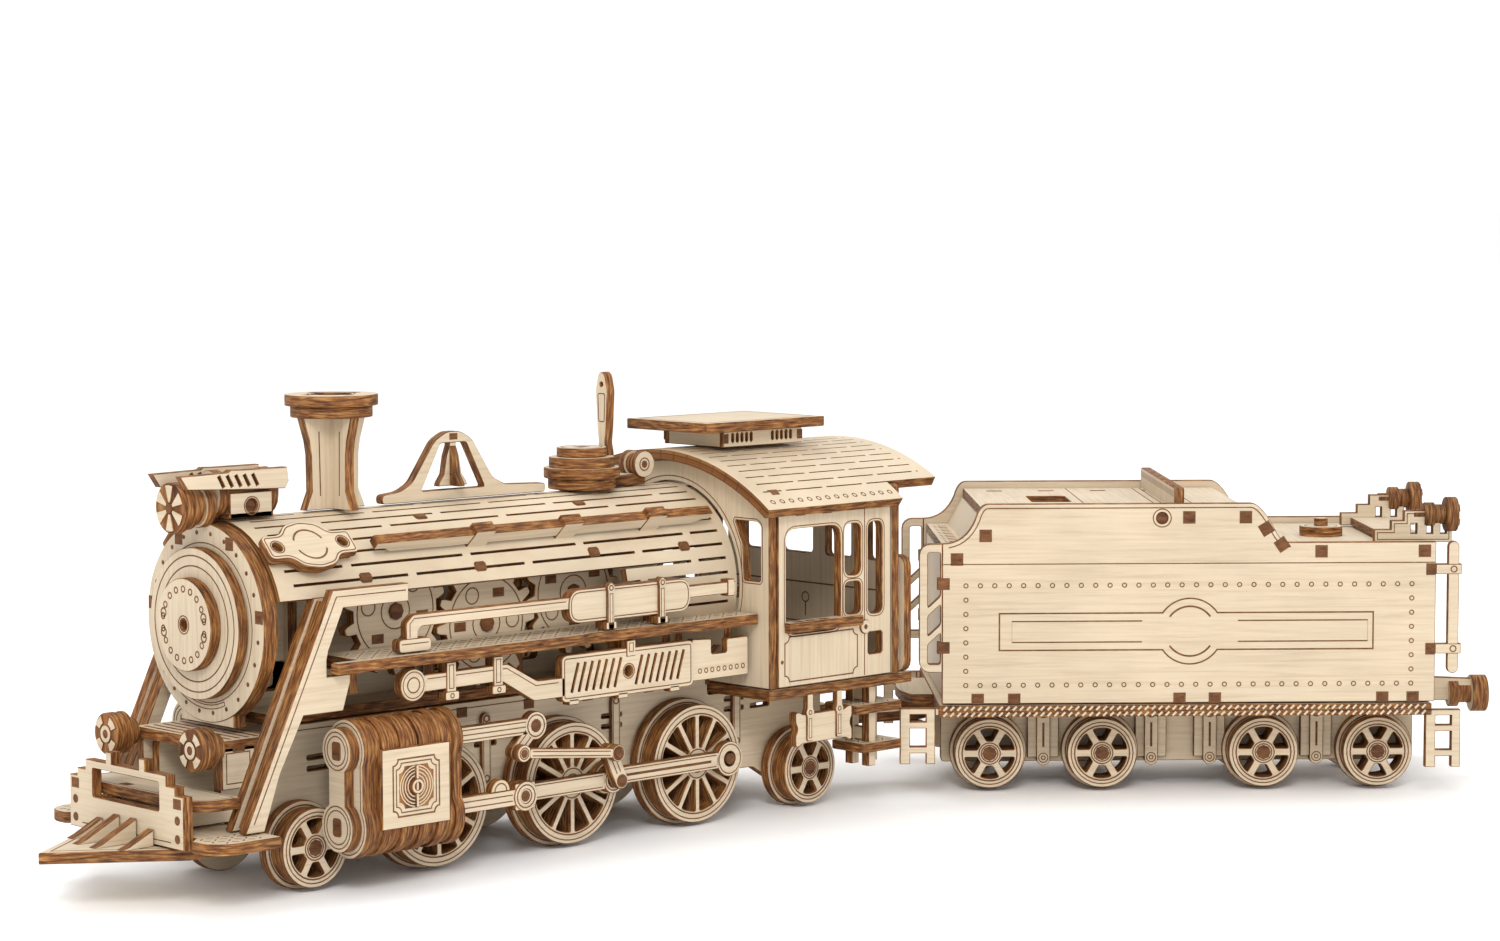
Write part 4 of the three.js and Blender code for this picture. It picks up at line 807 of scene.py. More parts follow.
# ---------------------------------------------------------------- headlamp
LAMP_Z = 66.8
lamp = Piece("headlamp_stack")


def petals(piece, y, z, x, inner, outer, count, share, proud=0.25):
    """Cream sectors standing proud of a scorched disc."""
    for k in range(count):
        a = (k + 0.5) * 2 * math.pi / count
        half = share * math.pi / count
        loop = arc(y, z, outer, a - half, a + half, 5) + arc(y, z, inner, a + half, a - half, 3)
        piece.prism("x", loop, x - proud, x + 0.3, chamfer=0.08)


lamp.prism("x", circle(0, LAMP_Z, 4.5, 40), -25.0, -23.2, (), EDGE, EDGE)
petals(lamp, 0, LAMP_Z, -25.0, 1.0, 4.1, 6, 0.55)
lamp.pin("x", circle(0, LAMP_Z, 0.9, 14), -25.4, -24.8)
lamp.discs("x", 0, LAMP_Z, ((-23.2, -21.4, 4.0), (-21.4, -19.6, 3.3), (-19.6, -17.8, 3.8),
                            (-17.8, -14.8, 2.6)))
for x in (-17, -6.4):
    lamp.prism("x", soften(link((0, RIDGE + 3.6), (0, 69.4), 3.6), 0.2, 1), x, x + PLY, grain=1)
for s in (-1, 1):
    lamp.side(s, rect(-15.2, RIDGE, -6.2, 69), 2.8, 1.2, [circle(-10.6, 66.6, 1.25, 20)])
    lamp.line("y", circle(-10.6, 66.6, 1.6, 20), s * 4.0, s, 0.2)
    lamp.pin("y", circle(-10.6, 66.6, 1.2, 8), s * 2.9, s * 3.4, 0)
    slots = [ribbon([(-18.2 + 1.8 * k, 72.2), (-17.2 + 1.8 * k, 70.3)], 0.5) for k in range(5)]
    visor = [(-26.3, 72.6), (-24.7, 70.2), (-15, 69.7), (-4, 69.3), (-3.2, 70.6), (-3.6, 73.1),
             (-13, 73.1), (-15.6, 73.2), (-16.2, 72.8)]
    lamp.side(s, visor, 3.4, 1.6, slots)
lamp.prism("z", rect(-15.5, -4, -6, 4), RIDGE, RIDGE + 1)
lamp.prism("z", rect(-16.6, -3.4, -4.8, 3.4), 68.7, 70.5)
lamp.build("headlamp")

# ---------------------------------------------------------------- ridge fittings
stack = Piece("chimney_boards")
half = [(6.6, RIDGE), (6.4, RIDGE + 0.6), (5.2, RIDGE + 3.4), (5.3, 74.5), (5.7, 77), (7.0, 81.2)]
loop = half + [(-a, b) for a, b in reversed(half)]
shifted = [(a + 10, b) for a, b in loop]
stack.prism("y", shifted, -1, 1, grain=1)
stack.prism("x", loop, 9, 11, grain=1)
for s in (-1, 1):
    for axis, centre in (("y", 10), ("x", 0)):
        seam = [(centre + s * 3.4, RIDGE + 2.5), (centre + s * 3.6, 78.6)]
        for out in (-1, 1):
            stack.line(axis, seam, out if axis == "y" else 10 + out, out, 0.25, False)
stack.prism("z", circle(10, 0, 7.4, 44), 81.1, 83.1, [circle(10, 0, 3.1, 24)])
stack.prism("z", circle(10, 0, 8.4, 44), 83.2, 85.2, [circle(10, 0, 3.6, 28)])
stack.line("z", circle(10, 0, 4.3, 32), 85.2, 1, 0.25)
for c in ((14.7, 0), (5.3, 0), (10, 4.7), (10, -4.7)):
    w, d = (1.1, 0.7) if c[1] == 0 else (0.7, 1.1)
    stack.plug("z", rect(c[0] - w, c[1] - d, c[0] + w, c[1] + d), 85.2, 1, 0.02)
stack.build("chimney")

bell = Piece("bell_and_frame")
frame_loop = [(20.5, RIDGE), (59.5, RIDGE), (59.5, 66.2), (49.5, 66.6), (46.6, 68), (41.6, 75.6),
              (38.8, 77.1), (35.6, 77.1), (32.8, 75.6), (27.4, 68), (24.6, 66.6), (20.5, 66.2)]
bell_opening = [(29.6, 66.4), (44.6, 66.4), (40.2, 75), (34.2, 75)]
bell.prism("y", soften(frame_loop, 1.0, 3), -1, 1, [soften(bell_opening, 0.5, 2)])
for s in (-1, 1):
    bell.plug("y", rect(36.4, 75.7, 38, 76.6), s, s)
half = [(3.4, 67), (3.2, 67.7), (2.1, 69.2), (1.5, 72.6), (0.8, 74.4), (0.7, 75.9)]
loop = half + [(-a, b) for a, b in reversed(half)]
bell.prism("y", [(a + 37.2, b) for a, b in loop], -0.8, 0.8, ends=FACE)
bell.prism("x", loop, 36.4, 38, ends=EDGE)
for b in (67.9, 69.2):
    bell.line("x", [(-2.2, b), (2.2, b)], 36.4, -1, 0.2, False)
bell.build("bell_frame")

dome = Piece("steam_dome_discs", slot="ply_engraved")
DOME_X, NOTCH_X, NOTCH_HALF = 69.4, 74.2, 2.0
for lo, hi, r in ((RIDGE, 66.5, 6.5), (66.6, 68.6, 7.3), (68.6, 70.6, 6.3)):
    open_angle = math.asin(NOTCH_HALF / r)
    dome.prism("z", arc(DOME_X, 0, r, open_angle, 2 * math.pi - open_angle, 40)
               + [(NOTCH_X, -NOTCH_HALF), (NOTCH_X, NOTCH_HALF)], lo, hi)
dome.prism("z", circle(DOME_X, 0, 4.8, 40), 70.6, 72.4)
dome.line("z", circle(69.4, 0, 3.9), 72.4, 1, 0.25)
dome.plug("z", rect(68.2, -0.9, 70.6, 0.9), 72.4, 1, 0.02)
dome.build("steam_dome")

whistle = Piece("whistle_boards", slot="ply_engraved")
paddle = [(-1.4, RIDGE), (1.4, RIDGE), (1.4, 71), (0.9, 73), (1.3, 76), (1.7, 83), (1, 86),
          (0, 86.7), (-1, 86), (-1.7, 83), (-1.3, 76), (-0.9, 73), (-1.4, 71)]
whistle.prism("x", soften(paddle, 0.5, 2), 74.5, 76.5, [circle(0, 84.2, 0.45, 12)], grain=1)
whistle.line("x", soften([(-0.8, 77), (0.8, 77), (1, 82.4), (-1, 82.4)], 0.4, 2), 74.5, -1, 0.2)
whistle.prism("z", rect(76.5, -1.7, 84.2, 1.7), RIDGE, 66.6)
for s in (-1, 1):
    whistle.prism("y", circle(83.4, 68.4, 2.6, 28), s * 0.9, s * 2.4)
    whistle.line("y", circle(83.4, 68.4, 1.2, 20), s * 2.4, s, 0.25)
    whistle.plug("y", circle(83.4, 68.4, 0.6, 8), s * 2.4, s, 0.03)
whistle.prism("y", circle(83.4, 68.4, 2.0, 20), -1, 1)
whistle.build("whistle")


# ---------------------------------------------------------------- treads
def tread(piece, x0, y0, x1, y1, z, pitch=1.7, clip=None):
    """Small crossed dashes engraved in a walking board."""
    rows = int((y1 - y0) / pitch)
    columns = int((x1 - x0) / pitch)
    for i in range(columns):
        for j in range(rows):
            x, y = x0 + (i + 0.5) * pitch, y0 + (j + 0.5) * pitch
            if clip and not clip(x, y):
                continue
            lean = 0.42 if (i + j) % 2 else -0.42
            piece.prism("z", ribbon([(x - 0.42, y - lean), (x + 0.42, y + lean)], 0.26), z - 0.2, z
                        + 0.03, (), BURN, BURN, 0)


# ---------------------------------------------------------------- front end
pilot = Piece("pilot_wedge")
wedge = [(-52.8, 0), (-32.3, -15), (-23, -15), (-23, 15), (-32.3, 15)]
pilot.prism("z", wedge, 7.9, 9.9)
pilot.line("z", inset([(-51, 0), (-33, -13.2), (-33, 13.2)], 0.4), 9.9, 1, 0.25)
for y in (-7.8, -2.6, 2.6, 7.8):
    foot = -41.4 if abs(y) > 5 else -43.6
    top = 9.6 + 0.55 * (-35.5 - foot)
    fin = [(foot - 0.3, 9.9), (-35.4, 9.9), (-35.4, top), (foot + 1.2, 10.5)]
    pilot.prism("y", fin, y - 1, y + 1)
pilot.build("pilot")

front = Piece("pilot_cross_board")
profile = [(-17.4, 10.2), (17.4, 10.2), (17.4, 19.4), (15, 19.4), (15, 20.8), (12.4, 20.8),
           (12.4, 22.6), (6, 22.6), (6, 24.6), (4.2, 24.6), (4.2, 22.6), (-4.2, 22.6), (-4.2, 24.6),
           (-6, 24.6), (-6, 22.6), (-12.4, 22.6), (-12.4, 20.8), (-15, 20.8), (-15, 19.4),
           (-17.4, 19.4)]
front.prism("x", profile, -35.2, -33.2, [soften(rect(-10.2, 16.2, 10.2, 21.2), 0.4, 2)])
for y in (-15.6, 15.6):
    for z in (12.0, 15.2):
        front.plug("x", circle(y, z, 0.65, 12), -35.2, -1)
    front.plug("x", rect(y - 1, 17.3, y + 1, 18.8), -35.2, -1)
front.line("x", [(-13.6, 11.2), (13.6, 11.2)], -35.2, -1, 0.2, False)
front.build("pilot_frame")

beam = Piece("buffer_beam_board")
loop = (arc(-28, -14, 4.9, math.pi, 1.5 * math.pi, 8) + [(-24.6, -18.9), (-24.6, 18.9)]
        + arc(-28, 14, 4.9, math.pi / 2, math.pi, 8))
beam.prism("z", loop, 16.4, 18.4, grain=1)
beam.line("z", inset(loop, 0.7), 18.4, 1, 0.2)
for y in (-6, 6):
    beam.plug("z", rect(-31.6, y - 1.2, -30.2, y + 1.2), 18.4, 1, 0.02)
beam.build("buffer_beam")

steps = Piece("front_step_boards")
loop = ([(-32.9, -17.8), (-35, -19.6)] + arc(-30, -21.5, 5, math.pi, 1.5 * math.pi, 8)
        + [(-21.5, -26.5), (-21.5, 26.5)] + arc(-30, 21.5, 5, math.pi / 2, math.pi, 8)
        + [(-35, 19.6), (-32.9, 17.8)])
steps.prism("z", loop, 10.2, 12.2, grain=1)
for s in (-1, 1):
    lo, hi = span(s, 18.6, 25.6)
    tread(steps, -34, lo, -22.4, hi, 12.2,
          clip=lambda x, y: math.hypot(min(x + 30, 0), max(abs(y) - 21.5, 0)) < 4.2)
steps.build("front_step_board")

deck = Piece("slatted_front_deck")
slits = [rounded(-23.4 + 1.9 * k, -11.6, -22.9 + 1.9 * k, 11.6, 0.2, 1) for k in range(6)]
deck.prism("z", rect(-24.5, -13, -13, 13), 25.2, 27.2, slits, grain=1)
for s in (-1, 1):
    deck.side(s, rect(-24, 18.7, -17.2, 26), 11, PLY)
    deck.line("y", rect(-23.1, 19.7, -18.2, 25), s * 13, s, 0.2)
    deck.plug("y", rect(-21.6, 25.3, -19.4, 26.0), s * 13, s, 0.02)
deck.build("front_deck")

for label, s in SIDES:
    marker = Piece(f"marker_lamp_discs_{label}", slot="ply_engraved")
    y, z = s * 12.9, 26.4
    marker.discs("x", y, z, ((-30.4, -28.6, 3.75), (-28.6, -27.6, 3.55), (-27.6, -26.8, 3.75)),
                 ends=EDGE)
    petals(marker, y, z, -30.4, 1.9, 3.4, 4, 0.5, 0.2)
    marker.prism("x", circle(y, z, 1.55, 24), -30.62, -30.2, [circle(y, z, 0.75, 16)], chamfer=0.05)
    marker.pin("x", circle(y, z, 0.74, 12), -30.5, -30.2, 0)
    marker.prism("x", circle(y, z, 2.4, 20), -26.9, -24.8)
    marker.build(f"marker_lamp_{label}")

for label, s in SIDES:
    brace = Piece(f"brace_channel_{label}")
    outer = [(-26, 12.5), (-22, 12.5), (-18.6, 22), (-13.5, 31.6), (-5, 31.6), (-3.4, 36.5),
             (-3.4, 37.9), (-8.4, 37.9), (-8.4, 40.8), (-8.0, 42.4), (-4.7, 49.6), (9.6, 49.6),
             (9.6, 52.8), (-7, 52.8)]
    brace.side(s, outer, 20.4)
    brace.line("y", [(-24.2, 14), (-6.2, 51.6), (9, 51.6)], s * 22.4, s, 0.22, False)
    inner = [(-26, 12.5), (-23, 12.5), (-13.2, 33.6), (-8.6, 43.4), (-5, 51.2), (-8, 51.2)]
    brace.side(s, inner, 16.4)
    web = [(-24.6, 13.2), (-23, 12.8), (-6, 50.4), (-7.6, 50.8)]
    brace.side(s, web, 18.4, 2.0, ends=EDGE)
    brace.build(f"brace_{label}")

# ---------------------------------------------------------------- running boards and pipework
for label, s in SIDES:
    walk = Piece(f"walking_board_{label}", slot="ply_engraved")
    loop = [(-2.2, 12), (92.4, 12), (92.4, 24.7), (75, 24.7), (72.5, 23.9), (50.5, 23.9),
            (48, 24.7), (-7.8, 24.7), (-7.8, 22.8), (-2.2, 22.8)]
    walk.prism("z", [(x, s * y) for x, y in loop], BOARD_Z, BOARD_Z + PLY)
    lo, hi = span(s, 13, 23.4)
    tread(walk, -1.4, lo, 91.4, hi, BOARD_Z + PLY, 1.75)
    walk.build(f"running_board_{label}")

    pipes = Piece(f"tank_and_pipes_{label}")
    base = BOARD_Z + PLY + GAP
    tank = rounded(45.9, 42.3, 76.1, 48.5, 3.2, 6)
    pipes.side(s, tank, 21, 2.4)
    pipes.line("y", inset(tank, 0.55), s * 23.4, s, 0.2)
    for x in (54.6, 67.4):
        strap = soften([(x + 0.3, base), (x + 1.9, base), (x + 1.9, 47.6), (x + 2.1, 48.6),
                        (x + 1.1, 49.4), (x + 0.1, 48.6), (x + 0.3, 47.6)], 0.3, 2)
        pipes.side(s, strap, 22.4, 1.6)
        pipes.line("y", rect(x + 0.75, base + 1, x + 1.45, 47.2), s * 24.0, s, 0.16)
        pipes.dot("y", x + 1.1, 48.3, 0.45, s * 24.0, s)
        pipes.side(s, rect(x - 0.2, base, x + 2.4, base + 1.4), 20.8, 3.2)
    pipe = soften([(8.4, base), (11, base), (11, 44.2), (11.8, 45), (48, 45), (48, 47.2),
                   (10, 47.2), (8.4, 45.8)], 0.5, 3)
    pipes.side(s, pipe, 21.4, 1.8)
    pipes.line("y", [(9.2, base + 2.6), (9.2, 45.6), (10.2, 46.5), (45.4, 46.5)], s * 23.2, s, 0.18,
               False)
    pipes.side(s, soften(rect(6.6, base, 13.8, base + 2.4), 0.8, 3), 21.2, 2.2)
    pipes.line("y", [(7.2, base + 1.5), (13.2, base + 1.5)], s * 23.4, s, 0.18, False)
    pipes.side(s, rect(74.5, 44.7, 88, 46.9), 21.4, 1.8)
    pipes.side(s, rect(85.8, 44.2, 87.6, 47.4), 21.2, 2.2)
    pipes.build(f"air_tank_{label}")

    panel = Piece(f"louvre_board_{label}")
    top = BOARD_Z - GAP
    grille = rounded(44.2, 27.9, 77, 36.6, 1.3, 4)
    slits = [ribbon([(46.6 + 1.75 * k, 29.7), (48.2 + 1.75 * k, 34.9)], 0.42) for k in range(16)
             if abs(46.6 + 1.75 * k + 0.8 - 60.6) > 1.4]
    panel.side(s, grille, 21.2, PLY, slits + [circle(60.6, 32.3, 1.05, 20)])
    panel.line("y", inset(grille, 0.7), s * 23.2, s, 0.2)
    panel.line("y", circle(60.6, 32.3, 1.4, 20), s * 23.2, s, 0.2)
    for x in (46, 58, 71):
        panel.side(s, rect(x, 27.3, x + 2.4, 28.4), 21.2, PLY)
    pipe = soften([(9.6, 33.2), (30, 33.4), (37.6, 29), (45, 29), (45, 32.6), (38.4, 32.6),
                   (31.4, 36.4), (9.6, 36.2)], 0.5, 2)
    panel.side(s, pipe, 21.2, PLY)
    panel.line("y", [(13, 35.5), (31.2, 35.6), (38, 31.8), (43.4, 31.8)], s * 23.2, s, 0.18, False)
    panel.side(s, circle(9.8, 34.7, 2.9, 32), 21.2, PLY + 0.1)
    panel.line("y", circle(9.8, 34.7, 1.35, 20), s * 23.3, s, 0.25)
    panel.line("y", circle(9.8, 34.7, 2.35, 24), s * 23.3, s, 0.18)
    tail = [(77, 28.6), (91.6, 28.6), (91.6, 36), (86, 36), (86, 33.4), (82, 33.4), (82, 36.3),
            (77, 36.6)]
    panel.side(s, soften(tail, 0.3, 1), 21.2, 1.6)
    for k in range(8):
        panel.dot("y", 79 + 1.6 * k, 30.4, 0.42, s * 22.8, s)
    for x in (17.2, 28.0, 60.0):
        low = 32.4 if x < 50 else 35
        panel.side(s, rect(x, low, x + 2.2, top), 20.8, 2.6)
        panel.line("y", rect(x + 0.6, low + 0.9, x + 1.6, top - 0.5), s * 23.4, s, 0.16)
        if x < 50:
            panel.side(s, soften(rect(x - 0.5, low - 1.2, x + 2.7, low + 0.4), 0.4, 2), 21.2, 2.4)
            panel.dot("y", x + 1.1, low - 0.4, 0.4, s * 23.6, s)
    panel.build(f"louvre_panel_{label}")

# ---------------------------------------------------------------- cab
for label, s in SIDES:
    wall = Piece(f"cab_wall_{label}")
    holes = [rounded(97.4, 36, 112.2, 56.4, 2.6, 5), rounded(113.4, 46.2, 117.8, 56.4, 1.6, 4),
             rounded(113.4, 38.6, 117.8, 45, 1.2, 4), rounded(119.8, 38.2, 123.8, 56.4, 1.5, 4),
             rounded(119.8, 30.2, 123.8, 34.6, 0.4, 1)]
    wall.side(s, rect(95.3, 25.9, CAB_REAR, 60.1), CAB_HALF - PLY, PLY, holes, grain=1)
    face = s * CAB_HALF
    for hole in holes[:4]:
        wall.line("y", inset(hole, -0.5), face, s, 0.18)
    wall.line("y", notched(97.0, 26.9, 116.8, 35.6, 1.2), face, s, 0.26)
    wall.line("y", [(118.8, 26.2), (118.8, 59.8)], face, s, 0.22, False)
    wall.prism("y", circle(118.8, 35.8, 1.4, 20), face - 0.3 * s, face + 0.4 * s)
    wall.pin("y", circle(118.8, 35.8, 0.5, 12), face - 0.3 * s, face + 0.45 * s, 0.05)
    wall.prism("y", circle(96.3, 30.8, 0.4, 8), face - 0.2 * s, face + 0.03 * s, (), BURN, BURN, 0)
    sill = [rounded(99.0 + 3.4 * k, s * 27.6 - 0.65, 101.5 + 3.4 * k, s * 27.6 + 0.65, 0.3, 2)
            for k in range(3)]
    lo, hi = span(s, 26.0, 28.9)
    wall.prism("z", rect(97.0, lo, 117.0, hi), 36.4, 38.4, sill)
    for x in (100.2, 107.4):
        wall.plug("y", rect(x, 59.0, x + 2.2, 59.9), face, s, 0.02)
    wall.build(f"cab_side_{label}")

front = Piece("cab_front_board")
half = CAB_HALF - 0.1
inner = ROOF_R - PLY - GAP
edge = math.asin(half / inner)
top = [(inner * math.sin(edge * (1 - i / 12)), ROOF_Z + inner * math.cos(edge * (1 - i / 12)))
       for i in range(25)]
arch = arc(0, BOILER_Z, BOILER_R + GAP, -0.38, math.pi + 0.38, 40)
lights = [soften([(20.4 * s, 46.5), (25 * s, 46.5), (25 * s, 57.2), (24 * s, 58), (17.8 * s, 58),
                  (20 * s, 53.6)], 0.3, 1) for s in (-1, 1)]
front.prism("x", [(-half, 25.9), (half, 25.9)] + top, CAB_FRONT, CAB_FRONT + PLY, [arch] + lights,
            grain=1)
for loop in lights:
    front.line("x", inset(loop, -0.5), CAB_FRONT, -1, 0.2)
front.line("x", arc(0, BOILER_Z, BOILER_R + 1.3, -0.3, math.pi + 0.3, 40), CAB_FRONT, -1, 0.2,
           False)
front.build("cab_front")

floor = Piece("cab_floor_boards")
floor.prism("z", rect(CAB_FRONT, -CAB_HALF, HANDRAIL_X + PLY, CAB_HALF), 23.6, 25.6)
floor.prism("x", rect(-12, 25.6, 12, 44), 102, 104, grain=1)
floor.prism("z", rect(95.3, -12, 102, 12), 42, 44)
floor.line("x", circle(0, 33.4, 4.2, 32), 104, 1, 0.3)
floor.line("x", circle(0, 33.4, 3.2, 32), 104, 1, 0.2)
for y in (-7, 7):
    floor.line("x", circle(y, 40, 1.6, 20), 104, 1, 0.25)
floor.line("x", [(-9, 28), (9, 28)], 104, 1, 0.3, False)
for s in (-1, 1):
    floor.side(s, rect(95.3, 25.6, 102, 42), 10, PLY)
    for x in (97, 99.6):
        floor.line("y", rect(x, 28, x + 1.6, 39), s * 12, s, 0.22)
    frame_loop, gaps = rail_frame(19.4 * s, CAB_HALF * s, 25.6, 48.9, 2)
    floor.prism("x", frame_loop, HANDRAIL_X, HANDRAIL_X + PLY, gaps, grain=1)
    for z, x0 in ((18.4, 116.6), (10.6, 118.6)):
        lo, hi = span(s, 18.2, CAB_HALF)
        floor.prism("z", rounded(x0, lo, 129.6, hi, 0.8, 2), z, z + 1.8)
        tread(floor, x0 + 0.8, lo + 0.6, 129, hi - 0.6, z + 1.8, 1.7)
    for x in (121.4, 127.4):
        for y in ((19.4, 21.4), (24, 26)) if x < 125 else ((19.4, 21.4),):
            lo, hi = sorted((s * y[0], s * y[1]))
            floor.box((x, lo, 7.6), (x + (2 if x < 125 else 1.2), hi, 24), "y")
    for z in (12.6, 20.4):
        lo, hi = span(s, 21, 24.4)
        floor.box((121.9, lo, z), (123.1, hi, z + 2.6), "x")
    box_loop = soften([(100, 13.9), (101, 13.9), (101.6, 14.4), (113.8, 14.4), (114.4, 13.9),
                       (115.4, 13.9), (115.4, 16.2), (114.9, 16.8), (114.9, 17.9), (115.4, 18.5),
                       (115.4, 20.6), (114.2, 20.6), (113.6, 20.1), (101.8, 20.1), (101.2, 20.6),
                       (100, 20.6), (100, 18.5), (100.5, 17.9), (100.5, 16.8), (100, 16.2)], 0.3, 1)
    floor.side(s, box_loop, 25.4, 1.9)
    for x in (102.8, 110.8):
        strap = soften([(x, 14.8), (x + 1.6, 14.8), (x + 1.6, 19.6), (x + 2, 20.4), (x + 1.6, 21.2),
                        (x + 1.6, 24), (x, 24), (x, 21.2), (x - 0.4, 20.4), (x, 19.6)], 0.2, 1)
        floor.side(s, strap, 26.4, 1.3)
        floor.line("y", rect(x + 0.45, 15.4, x + 1.15, 19.2), s * 27.7, s, 0.14)
        floor.dot("y", x + 0.8, 20.4, 0.4, s * 27.7, s)
floor.prism("x", soften([(-6, 14.4), (6, 14.4), (6, 24), (-6, 24)], 0.5, 2), 125.2, 127.2)
floor.prism("z", link((126, 0), TONGUE, 3), 14.4, 16.4)
floor.pin("z", circle(*TONGUE, 1.1, 16), 11, 16.5)
floor.prism("z", circle(*TONGUE, 2.2, 20), 10, 11.4)
floor.build("cab_floor")

# The board behind the cab: its shoulders stand behind the roof's wide part.
REAR_WALL_X, SILL_Z = 126.7, 48.0


def wall_rim(radius, angle):
    return radius * math.sin(angle), ROOF_Z + radius * math.cos(angle)


rear_wall = Piece("cab_rear_board")
half = CAB_HALF - 0.1
shoulder_r, middle_r, step_angle = ROOF_R - 0.2, ROOF_R - PLY - GAP, TAIL_HALF + math.radians(0.6)
corner = [wall_rim(shoulder_r, a) for a in (math.asin(half / shoulder_r), step_angle)]
middle = [wall_rim(middle_r, step_angle * (1 - k / 8)) for k in range(17)]
top = corner + middle + [(-a, b) for a, b in corner[::-1]]
openings = [rounded(-4.8, SILL_Z, 4.8, 62, 1.2, 4)]
for s in (-1, 1):
    for near, far, high in ((8.6, 15.7, 60), (20.2, 23.6, 56.5)):
        lo, hi = span(s, near, far)
        openings.append(rounded(lo, SILL_Z, hi, high, 1.0, 4))
rear_wall.prism("x", [(-half, 25.7), (half, 25.7)] + top, REAR_WALL_X, REAR_WALL_X + PLY, openings,
                grain=1)
for face, out in ((REAR_WALL_X, -1), (REAR_WALL_X + PLY, 1)):
    rear_wall.line("x", [(-26, 42), (26, 42)], face, out, 0.3, False)
    rear_wall.line("x", circle(-2.8, 39, 1.0, 14), face, out, 0.25)
    rear_wall.line("x", [(-2.8, 38), (-2.8, 35.2)], face, out, 0.3, False)
    rear_wall.line("x", notched(-24, 27.6, 24, 34, 1.2), face, out, 0.25)
for s in (-1, 1):
    for z in (31, 44.8):
        rear_wall.plug("x", rect(s * 26.2 - 0.7, z - 1.1, s * 26.2 + 0.7, z + 1.1), REAR_WALL_X
                       + PLY, 1, 0.03)
rear_wall.build()

# A planked roof: rows of boards between short slits, over a scorched front edge with finger joints.
roof = Piece("cab_roof_planks")
ROOF_ROWS, SIDE_ROWS = 24, 2  # planks across the roof; those the rear part lacks on each side
us = []
plank = 2 * ROOF_HALF / ROOF_ROWS
kerf = 0.36 / ROOF_R
for k in range(ROOF_ROWS):
    low, high = kerf / 2 if k else 0, kerf / 2 if k < ROOF_ROWS - 1 else 0
    us += [-ROOF_HALF + k * plank + low, -ROOF_HALF + (k + 1) * plank - high]
RIM = 2.8  # unslit border along each end
vs = {ROOF_FRONT, ROOF_FRONT + RIM, ROOF_TAIL, ROOF_REAR - RIM, ROOF_REAR}
PLANK_PERIOD, JOINT = 11.0, 0.6
for k in range(9):
    middle_x = ROOF_FRONT + RIM + PLANK_PERIOD / 2 * k
    vs |= {v for v in (middle_x - JOINT, middle_x + JOINT) if ROOF_FRONT
           + RIM < v < ROOF_REAR - RIM}
vs = sorted(vs)


def roof_solid(i, j):
    x = (vs[j] + vs[j + 1]) / 2
    row, slit = i // 2, i % 2
    if x > ROOF_TAIL and (row < SIDE_ROWS or row + slit > ROOF_ROWS - SIDE_ROWS - 1):
        return False
    if not slit or row in (0, ROOF_ROWS - 2) or x < ROOF_FRONT + RIM or x > ROOF_REAR - RIM:
        return True
    phase = ((x - ROOF_FRONT - RIM) / PLANK_PERIOD + (0.5 if row % 2 else 0)) % 1
    return min(phase, 1 - phase) * PLANK_PERIOD < JOINT


def in_roof(angle, x, depth):
    r = ROOF_R - PLY + depth
    return x, r * math.sin(angle), ROOF_Z + r * math.cos(angle)


roof.cells(us, vs, roof_solid, in_roof, PLY)
for k in range(-8, 9):
    seam = [in_roof(k * 0.074, 0, depth)[1:] for depth in (0.15, PLY - 0.15)]
    roof.line("x", seam, ROOF_FRONT, -1, 0.3, False, DARK)
roof.build("cab_roof")


def on_roof(x, angle):
    return (LOCO @ Matrix.Translation(Vector(in_roof(angle, x, PLY)) * MM)
            @ Matrix.Rotation(-angle, 4, "X"))


for label, s in SIDES:
    eaves = Piece(f"roof_eave_rivets_{label}", base=on_roof(0, s * (ROOF_HALF - 0.042)))
    for k in range(14):
        eaves.dot("z", 92.6 + 2.45 * k, 0, 0.5, -0.02, 1)
    eaves.plug("z", rect(94.2, s * -2.8 - 0.8, 96.4, s * -2.8 + 0.8), -0.12, 1, 0.1)
    eaves.build()
    tail_tab = Piece(f"roof_tail_tab_{label}", base=on_roof(0, s * math.radians(22.8)))
    tail_tab.plug("z", rect(133.8, -0.9, 136.2, 0.9), -0.12, 1, 0.1)
    tail_tab.build()

vent = Piece("roof_ventilator")
vent.prism("z", rect(91.4, -11.6, 123.3, 11.6), 74.3, 76.3)
vent.line("z", rect(93, -10, 121.7, 10), 76.3, 1, 0.2)
base = ROOF_Z + ROOF_R + GAP
for s in (-1, 1):
    holes = [rounded(x + 1.25 * k, 72.0, x + 0.6 + 1.25 * k, 73.8, 0.25, 1) for x in (100.8, 111.6)
             for k in range(5)]
    vent.side(s, rect(98.6, base, 120, 74.4), 7.4, 1.2, holes)
    for x in (98.6, 118.8):
        vent.plug("y", rect(x, 72, x + 1.2, 73.6), s * 8.6, s, 0.02)
for x in (98.8, 118.6):
    vent.prism("x", rect(-8.3, base, 8.3, 74.4), x, x + 1.2)
vent.build("roof_vent")

# ---------------------------------------------------------------- drawbar
bar = Piece("drawbar_link", "drawbar", slot="ply_engraved")
pivot = (TENDER_AT[0] - 4 * math.cos(TENDER_TURN), TENDER_AT[1] - 4 * math.sin(TENDER_TURN))
bar.prism("z", link(TONGUE, pivot, 2.8), 12, 14, [circle(*c, 1.45, 20) for c in (TONGUE, pivot)])
for c in (TONGUE, pivot):
    bar.line("z", circle(*c, 2.1, 24), 14, 1, 0.2)
bar.build("drawbar")

# ---------------------------------------------------------------- tender
LOW, HIGH = 51.0, 58.9


